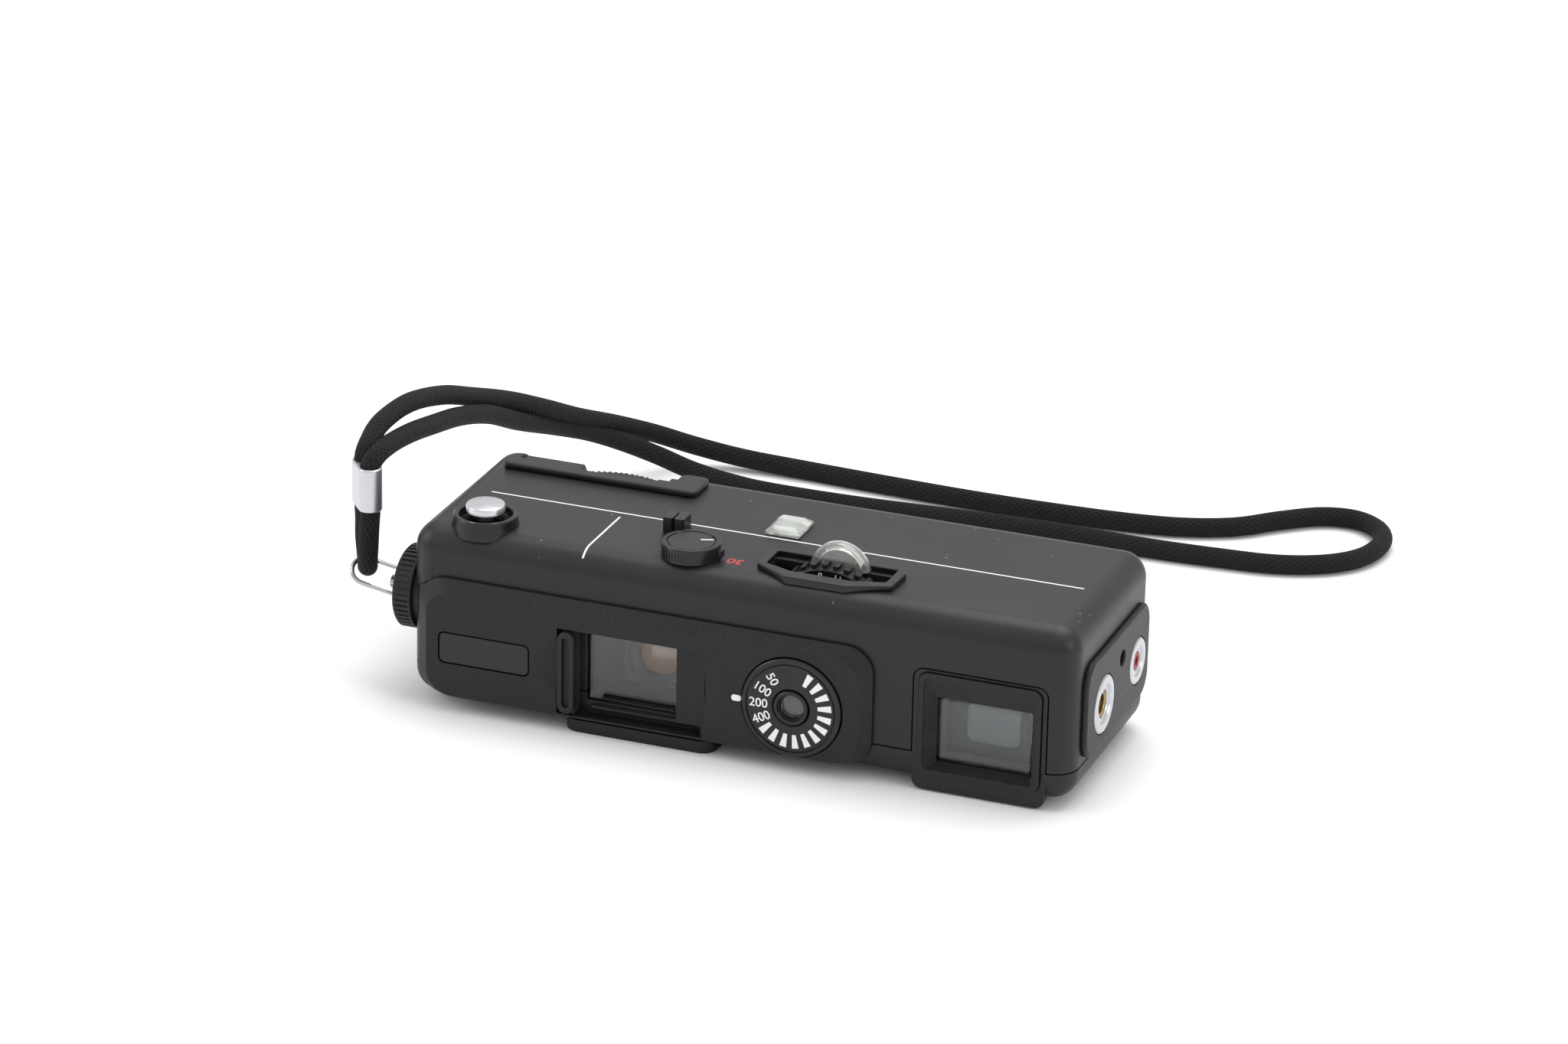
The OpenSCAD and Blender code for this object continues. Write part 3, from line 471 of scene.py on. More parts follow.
class Form:
    """A closed mesh in the making, in millimetres in the object's frame."""

    def __init__(self, bm: bmesh.types.BMesh) -> None:
        """Keeps the mesh that the methods work on."""
        self.bm = bm

    @classmethod
    def box(
        cls, lo: Sequence[float], hi: Sequence[float], radius: float = 0.0, segments: int = 4
    ) -> "Form":
        """Makes a box.

        Args:
            lo: lowest corner.
            hi: highest corner.
            radius: rounding of all its edges.
            segments: steps in the rounding.

        Returns:
            The box.
        """
        bm = bmesh.new()
        bmesh.ops.create_cube(bm, size=1.0)
        low, high = Vector(lo), Vector(hi)
        bmesh.ops.scale(bm, vec=high - low, verts=bm.verts)
        bmesh.ops.translate(bm, vec=(low + high) / 2, verts=bm.verts)
        if radius:
            bmesh.ops.bevel(
                bm, geom=bm.edges[:], offset=radius, segments=segments, profile=0.5, affect="EDGES",
                material=-1
            )
        return cls(bm)

    @classmethod
    def plate(
        cls, axis: Axis, u: Pair, v: Pair, h: Pair, radius: float = 0.0,
        taper: Optional[tuple[Pair, Pair, float]] = None
    ) -> "Form":
        """Makes a flat plate with rounded corners.

        Args:
            axis: direction across the plate.
            u: span along the first direction in its plane.
            v: span along the second.
            h: heights of the first and the second face.
            radius: rounding of the four corners.
            taper: the spans of a third, sloping face and its height.

        Returns:
            The plate.
        """
        bm = bmesh.new()
        bmesh.ops.create_grid(bm, x_segments=1, y_segments=1, size=0.5)
        bmesh.ops.scale(bm, vec=(u[1] - u[0], v[1] - v[0], 1.0), verts=bm.verts)
        bmesh.ops.translate(bm, vec=((u[0] + u[1]) / 2, (v[0] + v[1]) / 2, h[0]), verts=bm.verts)
        if radius:
            bmesh.ops.bevel(
                bm, geom=bm.verts[:], offset=radius, segments=10, profile=0.5, affect="VERTICES",
                material=-1
            )
        form = cls(bm)
        top = form._raise(bm.faces[:], h[1] - h[0])
        if taper:
            (u2, v2, height) = taper
            inner = top
            top = form._raise(inner, height - h[1])
            bmesh.ops.delete(bm, geom=inner, context="FACES_ONLY")
            verts = list({vert for face in top for vert in face.verts})
            scale = ((u2[1] - u2[0]) / (u[1] - u[0]), (v2[1] - v2[0]) / (v[1] - v[0]), 1.0)
            bmesh.ops.translate(bm, vec=(-(u[0] + u[1]) / 2, -(v[0] + v[1]) / 2, 0.0), verts=verts)
            bmesh.ops.scale(bm, vec=scale, verts=verts)
            bmesh.ops.translate(bm, vec=((u2[0] + u2[1]) / 2, (v2[0] + v2[1]) / 2, 0.0), verts=verts)
        return form._placed(axis)

    @classmethod
    def prism(cls, axis: Axis, outline: Sequence[Pair], h: Pair) -> "Form":
        """Makes a straight prism.

        Args:
            axis: direction that the outline is pushed along.
            outline: corners of the outline, in order.
            h: heights of its two ends.

        Returns:
            The prism.
        """
        bm = bmesh.new()
        verts = [bm.verts.new((p[0], p[1], h[0])) for p in outline]
        form = cls(bm)
        form._raise([bm.faces.new(verts)], h[1] - h[0])
        return form._placed(axis)

    @classmethod
    def rod(
        cls, axis: Axis, centre: Pair, h: Pair, radius: float, top: Optional[float] = None, steps: int = 72
    ) -> "Form":
        """Makes a round rod or a cone.

        Args:
            axis: direction of its length.
            centre: its centre in the other two directions.
            h: where it starts and ends.
            radius: radius at the start.
            top: radius at the end, where it differs.
            steps: sides.

        Returns:
            The rod.
        """
        bm = bmesh.new()
        end = radius if top is None else top
        bmesh.ops.create_cone(
            bm, cap_ends=True, segments=steps, radius1=radius, radius2=end, depth=h[1] - h[0]
        )
        bmesh.ops.translate(bm, vec=(centre[0], centre[1], (h[0] + h[1]) / 2), verts=bm.verts)
        return cls(bm)._placed(axis)

    @classmethod
    def lathe(cls, axis: Axis, centre: Pair, profile: Sequence[Pair], steps: int = 96) -> "Form":
        """Turns a profile round an axis.

        Args:
            axis: direction of the axis.
            centre: where the axis is.
            profile: radius and height of each point; a ring's profile is closed by itself.
            steps: sides.

        Returns:
            The turned form.
        """
        bm = bmesh.new()
        verts = [bm.verts.new((r, 0.0, h)) for r, h in profile]
        edges = [bm.edges.new(pair) for pair in zip(verts, verts[1:])]
        if profile[0][0] > 0.0:
            edges.append(bm.edges.new((verts[-1], verts[0])))
        bmesh.ops.spin(
            bm, geom=verts + edges, cent=(0, 0, 0), axis=(0, 0, 1), dvec=(0, 0, 0), angle=2 * math.pi,
            steps=steps, use_merge=True
        )
        bmesh.ops.remove_doubles(bm, verts=bm.verts, dist=WELD)
        bmesh.ops.translate(bm, vec=(centre[0], centre[1], 0.0), verts=bm.verts)
        return cls(bm)._placed(axis)

    def _raise(self, faces: list[bmesh.types.BMFace], height: float) -> list[bmesh.types.BMFace]:
        """Extrudes faces along local Z and returns the new top."""
        made = bmesh.ops.extrude_face_region(self.bm, geom=faces)["geom"]
        verts = [item for item in made if isinstance(item, bmesh.types.BMVert)]
        bmesh.ops.translate(self.bm, vec=(0.0, 0.0, height), verts=verts)
        return [item for item in made if isinstance(item, bmesh.types.BMFace)]

    def _placed(self, axis: Axis) -> "Form":
        """Turns local Z to the axis and closes and reorients the mesh."""
        bmesh.ops.transform(self.bm, matrix=PLACE[axis], verts=self.bm.verts)
        loose = [edge for edge in self.bm.edges if edge.is_boundary]
        if loose:
            bmesh.ops.holes_fill(self.bm, edges=loose, sides=0)
        bmesh.ops.recalc_face_normals(self.bm, faces=self.bm.faces)
        return self

    def slice(self, height: float, keep_above: bool) -> "Form":
        """Cuts the form at a height and keeps one side."""
        geometry = self.bm.verts[:] + self.bm.edges[:] + self.bm.faces[:]
        cut = bmesh.ops.bisect_plane(
            self.bm, geom=geometry, plane_co=(0, 0, height), plane_no=(0, 0, 1), clear_inner=keep_above,
            clear_outer=not keep_above
        )
        rim = [item for item in cut["geom_cut"] if isinstance(item, bmesh.types.BMEdge)]
        bmesh.ops.contextual_create(self.bm, geom=rim)
        bmesh.ops.recalc_face_normals(self.bm, faces=self.bm.faces)
        return self

    def copy(self) -> "Form":
        """Returns a second form of the same shape."""
        return Form(self.bm.copy())

    def turned(self, degrees: float, axis: Axis, centre: Sequence[float]) -> "Form":
        """Turns the form about an axis through a point."""
        spin = Matrix.Rotation(math.radians(degrees), 4, axis.name)
        middle = Matrix.Translation(Vector(centre))
        bmesh.ops.transform(self.bm, matrix=middle @ spin @ middle.inverted(), verts=self.bm.verts)
        return self

    def cut(self, *tools: "Form") -> "Form":
        """Takes the tools' volumes away."""
        return self._boolean(tools, "DIFFERENCE")

    def join(self, *others: "Form") -> "Form":
        """Fuses the other forms with this one."""
        return self._boolean(others, "UNION")

    def add(self, *others: "Form") -> "Form":
        """Puts other closed forms beside this one in the same mesh."""
        for other in others:
            mesh = bpy.data.meshes.new("part")
            other.bm.to_mesh(mesh)
            self.bm.from_mesh(mesh)
            bpy.data.meshes.remove(mesh)
        return self

    def _boolean(self, others: Iterable["Form"], operation: str) -> "Form":
        """Runs exact booleans with each of the other forms in one go."""
        work = bpy.data.collections.new("tools")
        base = _loose_object(self.bm)
        tools = [_loose_object(other.bm) for other in others]
        for tool in tools:
            bpy.context.scene.collection.objects.unlink(tool)
            work.objects.link(tool)
        modifier = base.modifiers.new("cut", "BOOLEAN")
        modifier.operation = operation
        modifier.solver = "EXACT"
        modifier.operand_type = "COLLECTION"
        modifier.collection = work
        bpy.context.scene.collection.children.link(work)
        graph = bpy.context.evaluated_depsgraph_get()
        result = base.evaluated_get(graph).to_mesh()
        made = bmesh.new()
        made.from_mesh(result)
        base.evaluated_get(graph).to_mesh_clear()
        for item in tools + [base]:
            mesh = item.data
            bpy.data.objects.remove(item)
            bpy.data.meshes.remove(mesh)
        bpy.data.collections.remove(work)
        bmesh.ops.remove_doubles(made, verts=made.verts, dist=WELD)
        bmesh.ops.dissolve_degenerate(made, edges=made.edges, dist=WELD)
        self.bm = made
        return self


def _loose_object(bm: bmesh.types.BMesh) -> bpy.types.Object:
    """Makes a scene object from a mesh in the making."""
    mesh = bpy.data.meshes.new("tool")
    bm.to_mesh(mesh)
    item = bpy.data.objects.new("tool", mesh)
    link(item)
    return item


def ring(
    axis: Axis, centre: Pair, h: Pair, outer: float, inner: float, edge: float = 0.1, steps: int = 96
) -> Form:
    """Makes a ring with eased edges.

    Args:
        axis: direction of its axis.
        centre: where the axis is.
        h: where it starts and ends.
        outer: outer radius.
        inner: bore radius.
        edge: chamfer of the four edges.
        steps: sides.

    Returns:
        The ring.
    """
    lo, hi = h
    profile = [
        (inner, lo + edge), (inner + edge, lo), (outer - edge, lo), (outer, lo + edge),
        (outer, hi - edge), (outer - edge, hi), (inner + edge, hi), (inner, hi - edge),
    ]
    return Form.lathe(axis, centre, profile, steps)


def curve_form(curve: bpy.types.Curve) -> Form:
    """Turns a curve's own surface into a form and removes the curve."""
    item = bpy.data.objects.new(curve.name, curve)
    link(item)
    graph = bpy.context.evaluated_depsgraph_get()
    bm = bmesh.new()
    bm.from_mesh(item.evaluated_get(graph).to_mesh())
    item.evaluated_get(graph).to_mesh_clear()
    bpy.data.objects.remove(item)
    bpy.data.curves.remove(curve)
    return Form(bm)


def spread(form: Form, count: int, axis: Axis, centre: Sequence[float]) -> list[Form]:
    """Makes copies of a form, evenly spaced round an axis."""
    return [form.copy().turned(360 * k / count, axis, centre) for k in range(count)]


def stand(form: Form, axis: Pair, reach: float, degrees: float, face: float) -> Form:
    """Stands a flat mark upright on a disc's face.

    Args:
        form: the mark, in the XY plane.
        axis: x and z of the disc's axis.
        reach: distance of the mark from the axis.
        degrees: angle round the axis.
        face: y of the face.

    Returns:
        The same mark.
    """
    a = math.radians(degrees)
    shift = Matrix.Translation((axis[0] + reach * math.cos(a), face, axis[1] + reach * math.sin(a)))
    bmesh.ops.transform(form.bm, matrix=shift @ UPRIGHT, verts=form.bm.verts)
    bmesh.ops.recalc_face_normals(form.bm, faces=form.bm.faces)
    return form


def body_block(lift: float = 0.0, drop: float = 0.0) -> Form:
    """Makes the body's rounded outline, a little taller where that is asked for."""
    low = (*BODY_LOW[:2], BODY_LOW[2] - drop)
    high = (*BODY_HIGH[:2], BODY_HIGH[2] + lift)
    return Form.box(low, high, BODY_RADIUS, 10)


def lettering(text: str, height: float) -> Form:
    """Makes thin flat figures, centred on the origin in the XY plane."""
    curve = bpy.data.curves.new("figures", "FONT")
    curve.body = text
    curve.size = height * 1.4
    curve.align_x = "CENTER"
    curve.align_y = "CENTER"
    curve.extrude = 0.02
    curve.offset = 0.012 * height
    form = curve_form(curve)
    bmesh.ops.remove_doubles(form.bm, verts=form.bm.verts, dist=0.001)
    return form


def settle(
    form: Form, name: str, finish: Finish, replaces: Sequence[str] = (), edge: float = 0.0,
    angle: float = 30.0, body: str = "camera"
) -> bpy.types.Object:
    """Turns a form into a finished piece on its body.

    Args:
        form: the form, in millimetres.
        name: name of the piece.
        finish: its finish.
        replaces: CAD nodes that it stands for.
        edge: width that its sharp edges are eased by.
        angle: edges that turn by more than this many degrees are sharp.
        body: CAD body that it rides on.

    Returns:
        The piece's object.
    """
    bmesh.ops.scale(form.bm, vec=(MM, MM, MM), verts=form.bm.verts)
    mesh = bpy.data.meshes.new(name)
    form.bm.to_mesh(mesh)
    form.bm.free()
    mesh.polygons.foreach_set("use_smooth", [True] * len(mesh.polygons))
    if not edge:
        mesh.set_sharp_from_angle(angle=math.radians(angle))
    piece = bpy.data.objects.new(name, mesh)
    link(piece)
    mesh.materials.append(finish.material())
    if edge:
        bevel = piece.modifiers.new("eased_edges", "BEVEL")
        bevel.width = edge * MM
        bevel.segments = 2
        bevel.limit_method = "ANGLE"
        bevel.angle_limit = math.radians(angle)
        bevel.use_clamp_overlap = False
        bevel.miter_outer = "MITER_ARC"
    weighted = piece.modifiers.new("flat_faces", "WEIGHTED_NORMAL")
    weighted.weight = 100
    weighted.keep_sharp = True
    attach(piece, body)
    if replaces:
        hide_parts(*replaces)
    LOG.info("%s: %d faces", name, len(mesh.polygons))
    return piece


def dress_node(node: str, finish: Finish) -> None:
    """Gives a CAD node a finish."""
    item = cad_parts[node]
    item.data.materials.clear()
    item.data.materials.append(finish.material())


# ---------------------------------------------------------------- strap


STRAP_ROUTE: list[Triple] = [
    (-65.4, -9.7, 35.6), (-65.9, -7, 37), (-66.9, 0, 37.9), (-67.5, 12, 36.9),
    (-67.9, 26, 33.2), (-67.8, 38, 28.7), (-66.6, 50, 24), (-64.2, 60, 19.4),
    (-62, 69, 15), (-58.8, 78, 11), (-54.6, 85.6, 7.2), (-49, 90.6, 4),
    (-41, 92.8, 2.2), (-31, 93.2, 1.7), (-16, 92.4, 1.7), (0, 91.8, 1.7),
    (14, 92, 1.7), (27, 92.8, 1.7), (37, 94.6, 1.7), (45, 98.2, 1.7),
    (51, 103.8, 1.7), (57, 108.4, 1.7), (62.8, 109.4, 1.7), (67.6, 106.4, 1.7),
    (69.6, 101, 1.7), (68.2, 94, 1.7), (63.6, 88.8, 1.7), (56, 85.4, 1.7),
    (46, 84.2, 1.7), (34, 83.6, 1.7), (19, 84, 1.7), (4, 83.2, 1.7),
    (-16, 81.6, 1.7), (-31, 81.4, 1.7), (-39, 82, 1.9), (-46, 82, 3),
    (-52, 80.6, 5.4), (-57.2, 77, 8.4), (-61, 71.4, 11.6), (-63.8, 62.6, 15.4),
    (-65.2, 51.4, 20), (-65.8, 40, 25.2), (-65.6, 28, 29.2), (-65, 16, 32.2),
    (-64.2, 5, 34.8), (-63.6, -4, 36.3), (-63.2, -9.6, 36.6), (-63.2, -12.3, 35.6),
]
LOOP_ROUTE: list[Triple] = [
    (-65.4, -9.7, 28.4), (-65.6, -9, 25.6), (-65.8, -8.6, 22.4),
    (-65.4, -9, 19.9), (-64.3, -11, 18.3), (-63.4, -13, 19.9),
    (-63, -13.6, 22.4), (-63, -13.2, 25.6), (-63.2, -12.3, 28.4),
]


@dataclass
class Strap:
    """Braided wrist strap with its ferrule and wire bail."""

    diameter: float = 3.2
    ferrule_low: float = 28.4
    ferrule_high: float = 35.6
    sides: int = 20
    bail_x: float = -59.4
    bail_reach: float = 5.2
    bail_half: float = 2.2
    wire: float = 0.36
    pivot: Pair = CAP_AXIS

    def build(self) -> None:
        """Builds the cord, the ferrule and the bail, and dresses the stud."""
        ferrule = self._ferrule()
        self._cord()
        self._bail()
        dress_node("strap_stud", CHROME)

    def _path(self) -> list[Vector]:
        """Runs a smooth curve through the whole route, from the ferrule through the bail and back.

        Returns:
            Points along the curve, in millimetres.
        """
        inside = (self.ferrule_low + self.ferrule_high) / 2
        route = [
            (*STRAP_ROUTE[-1][:2], inside)
        ] + LOOP_ROUTE[::-1] + [(*STRAP_ROUTE[0][:2], inside)] + STRAP_ROUTE
        route.append((*STRAP_ROUTE[-1][:2], inside + 0.6))
        knots = [Vector(p) for p in route]
        made = []
        for i in range(len(knots) - 1):
            a, b, c, d = knots[max(i - 1, 0)], knots[i], knots[i + 1], knots[min(i + 2, len(knots) - 1)]
            steps = max(3, round((c - b).length / 1.0))
            for k in range(steps):
                t = k / steps
                made.append(
                    0.5 * (
                        2 * b + (c - a) * t + (
                            2 * a - 5 * b + 4 * c - d
                        ) * t * t + (3 * b - a - 3 * c + d) * t ** 3
                    )
                )
        made.append(knots[-1])
        return made

    def _cord(self) -> None:
        path = self._path()
        bm = bmesh.new()
        weave = bm.loops.layers.uv.new("UVMap")
        side = (path[1] - path[0]).normalized().orthogonal()
        rings, lengths, run = [], [], 0.0
        for i, point in enumerate(path):
            ahead = (path[min(i + 1, len(path) - 1)] - path[max(i - 1, 0)]).normalized()
            side = (side - ahead * side.dot(ahead)).normalized()
            up = ahead.cross(side)
            run += (point - path[i - 1]).length if i else 0.0
            lengths.append(run)
            angles = [2 * math.pi * k / self.sides for k in range(self.sides)]
            rings.append(
                [
                    bm.verts.new(
                        point + (side * math.cos(a) + up * math.sin(a)) * self.diameter / 2
                    ) for a in angles
                ]
            )
        for i in range(len(rings) - 1):
            for k in range(self.sides):
                n = (k + 1) % self.sides
                face = bm.faces.new((rings[i][k], rings[i][n], rings[i + 1][n], rings[i + 1][k]))
                corners = ((k, i), (k + 1, i), (k + 1, i + 1), (k, i + 1))
                for loop, (around, along) in zip(face.loops, corners):
                    loop[weave].uv = (around / self.sides, lengths[along] * MM)
        bm.faces.new(list(reversed(rings[0])))
        bm.faces.new(rings[-1])
        cord = settle(
            Form(bm), "strap_cord_run", BRAIDED, ("strap_cord",), angle=70.0, body="strap"
        )

    def _ferrule(self) -> bpy.types.Object:
        """Builds the crimped metal tube."""
        ends = (Vector((-65.4, -9.7)), Vector((-63.2, -12.3)))
        middle = (ends[0] + ends[1]) / 2
        half = (ends[1] - ends[0]).length / 2
        radius = self.diameter / 2 + 0.3
        tube = Form.plate(
            Axis.Z, (-half - radius, half + radius), (-radius, radius),
            (self.ferrule_low, self.ferrule_high), radius - 0.01
        )
        tube.turned(
            math.degrees(math.atan2(ends[1].y - ends[0].y, ends[1].x - ends[0].x)), Axis.Z, (0, 0, 0)
        )
        bmesh.ops.translate(tube.bm, vec=(middle.x, middle.y, 0.0), verts=tube.bm.verts)
        return settle(
            tube, "strap_ferrule_tube", SATIN_METAL, ("strap_ferrule",), edge=0.3, body="strap"
        )

    def _bail(self) -> None:
        """Bends the wire bail, a closed loop with its pin across the stud."""
        bend = [(0.0, -self.bail_half), (-self.bail_reach, -self.bail_half)]
        for k in range(1, 12):
            a = -math.pi / 2 - math.pi * k / 12
            bend.append((-self.bail_reach + self.bail_half * math.cos(a), self.bail_half * math.sin(a)))
        bend += [(-self.bail_reach, self.bail_half), (0.0, self.bail_half)]
        curve = bpy.data.curves.new("bail", "CURVE")
        curve.dimensions = "3D"
        curve.bevel_depth = self.wire
        curve.bevel_resolution = 4
        spline = curve.splines.new("POLY")
        spline.points.add(len(bend) - 1)
        tilt = Matrix.Rotation(math.radians(40), 4, "X") @ Matrix.Rotation(math.radians(24), 4, "Y")
        for knot, (x, y) in zip(spline.points, bend):
            place = tilt @ Vector((x, y, 0.0)) + Vector((self.bail_x, *self.pivot))
            knot.co = (*place, 1.0)
        spline.use_cyclic_u = True
        wire = curve_form(curve)
        bmesh.ops.recalc_face_normals(wire.bm, faces=wire.bm.faces)
        settle(wire, "strap_bail_wire", CHROME, ("strap_bail",), body="strap")


# ---------------------------------------------------------------- housing


@dataclass
class Housing:
    """Two moulded shells, their painted lines and the film door."""

    half: float = BODY_HIGH[0]
    front: float = BODY_LOW[1]
    rear: float = BODY_HIGH[1]
    low: float = BODY_LOW[2]
    top: float = BODY_HIGH[2]
    radius: float = BODY_RADIUS
    wall: float = 1.5
    seam: float = 6.2
    gap: float = 0.075
    panel: tuple[Pair, Pair] = ((-52.2, 22.6), (2.4, 21.9))
    block: tuple[Pair, Pair] = ((28.9, 50.1), (0.3, 20.0))
    line: float = 0.16

    def build(self) -> None:
        """Builds the shells, lines, door and pad."""
        self._shells()
        self._lines()
        self._door()
        self._underside()

    def _outer(self) -> Form:
        """Makes the solid outline with the straight seat for the panel."""
        body = body_block()
        seat = Form.plate(Axis.Y, *self.panel, (self.front + 0.01, self.front + self.wall + 0.3), 4.5)
        return body.join(seat)

    def _inner(self) -> Form:
        """Makes the hollow inside the shells."""
        w = self.wall
        return Form.box(
            (-self.half + w, self.front + w, self.low + w), (self.half - w, self.rear - w, self.top - w),
            self.radius - w, 5
        )

    def _front_cuts(self) -> list[Form]:
        """Makes the cut-outs that both shells share."""
        y = self.front
        return [
            self._inner(),
            Form.box((-46.25, y - 1, 3.05), (-5.55, y + 0.9, 18.15)),
            Form.box((-24.6, y - 1, 4.9), (-9, y + 3, 16.8)),
            Form.rod(Axis.Y, DIAL_AXIS, (y - 1, y + 3), 6.5),
        ]

    def _shells(self) -> None:
        """Builds the upper and the lower shell."""
        half, y, rear, top = self.half, self.front, self.rear, self.top
        (bx0, bx1), (bz0, bz1) = self.block
        upper = self._outer().slice(self.seam + self.gap, True)
        cuts = self._front_cuts() + [
            Form.plate(Axis.Y, (bx0 - 0.15, bx1 + 0.15), (-6.0, bz1 + 0.15), (y - 1, y + 2.5), 1.8),
            Form.rod(Axis.Z, BUTTON_AXIS, (top - 3, top + 1), 3.15),
            Form.rod(Axis.Z, SPEED_AXIS, (top - 3, top + 1), 1.6),
            Form.box((2.4, -13.2, top - 3), (21.9, -7.4, top + 1)),
            Form.box((-1.9, 1.2, top - 3), (2.5, 6.8, top + 1)),
            Form.rod(Axis.Z, THUMB_AXIS, (25.2, 28.0), 13.6),
            Form.box((-39.9, 11.6, 24.9), (-25.1, rear + 1, top + 1)),
            Form.box((-49.6, 13.0, top - 0.97), (-22.6, rear + 1, top + 1)),
            Form.plate(Axis.Y, (-44.0, 28.4), (8.2, 24.2), (rear - 3, rear + 1), 0.8),
            Form.rod(Axis.X, CAP_AXIS, (-half - 1, -half + 3), 5.85),
            Form.rod(Axis.Y, EYE_AXIS, (rear - 3, rear + 1), 3.1),
            Form.rod(Axis.X, FLASH_AXIS, (half - 3, half + 1), 3.2),
            Form.rod(Axis.X, RELEASE_AXIS, (half - 3, half + 1), 2.6),
            Form.rod(Axis.X, PIN_HOLE, (half - 3, half + 1), PIN_RADIUS),
        ]
        settle(upper.cut(*cuts), "upper_shell", ENAMEL, ("top_shell",), edge=0.18, angle=28)
        lower = self._outer().slice(self.seam - self.gap, False).cut(*self._front_cuts())
        lower.join(
            Form.plate(Axis.Y, (bx0, bx1), (bz0, bz1), (y + 0.01, y + self.wall + 0.3), 1.6),
            Form.box((bx0 + 2.0, y + self.wall, bz0 + 0.1), (bx1 - 2.0, -12.0, 1.7)),
        )
        lower.cut(
            Form.plate(Axis.Y, (29.7, 49.4), (2.9, 19.7), (y - 1, y + 2.5), 1.6),
            Form.rod(Axis.Z, BUSH_AXIS, (0.0, 4.0), 4.6),
        )
        settle(lower, "lower_shell", ENAMEL, ("base_shell",), edge=0.08, angle=28)

    def _lines(self) -> None:
        """Paints the long and the short line on the top."""
        w, top = self.line, self.top
        long_line = Form.box((-47.9, -0.15 - w, top - 0.02), (-17.4, -0.15 + w, top + 0.02))
        long_line.add(Form.box((-14.4, -0.15 - w, top - 0.02), (49.5, -0.15 + w, top + 0.02)))
        settle(long_line, "long_line", PAINT)
        centre = (self.front + self.radius, top - self.radius)
        arc = [
            (
                centre[0] - math.sin(a) * (self.radius + d), centre[1] + math.cos(a) * (self.radius + d)
            ) for d,
            angles in (
                (0.02, range(0, 46, 5)), (-0.05, range(45, -1, -5))
            ) for a in map(math.radians, angles)
        ]
        short = Form.prism(
            Axis.X, [(-1.8, top + 0.02)] + arc + [(-1.8, top - 0.05)], (-25.6 - w, -25.6 + w)
        )
        settle(short, "short_line", PAINT)

    def _door(self) -> None:
        """Builds the film door with its finger ridges and hinge barrel."""
        door = Form.plate(Axis.Y, (-43.8, 25.4), (8.4, 24.0), (18.6, 20.0), 1.5)
        door.join(
            Form.box((24.3, 18.9, 12.15), (27.0, 20.0, 20.25)),
            Form.rod(Axis.Z, (27.0, 19.2), (12.15, 20.25), 1.0)
        )
        door.cut(Form.rod(Axis.Z, (27.0, 19.2), (5.0, 30.0), 0.55))
        door.cut(
            *[Form.box((-41.6 + 0.9 * i, 19.75, 11.0), (-41.2 + 0.9 * i, 21.0, 21.4)) for i in range(7)]
        )
        settle(door, "film_door_leaf", ENAMEL, ("film_door",), edge=0.12, body="door")

    def _underside(self) -> None:
        """Builds the pad under the body."""
        pad = Form.plate(Axis.Z, (-27.9, -3.1), (-19.0, 16.0), (0.0, 2.1), 2.5)
        pad.join(Form.plate(Axis.Z, (-27.9, 44.0), (-6.0, 16.0), (0.0, 2.1), 2.5))
        pad.cut(body_block(drop=0.01), Form.rod(Axis.Z, BUSH_AXIS, (-1.0, 3.0), 4.6))
        settle(pad, "foot_pad", MOULDED, ("base_pad",), edge=0.2)


# ---------------------------------------------------------------- front


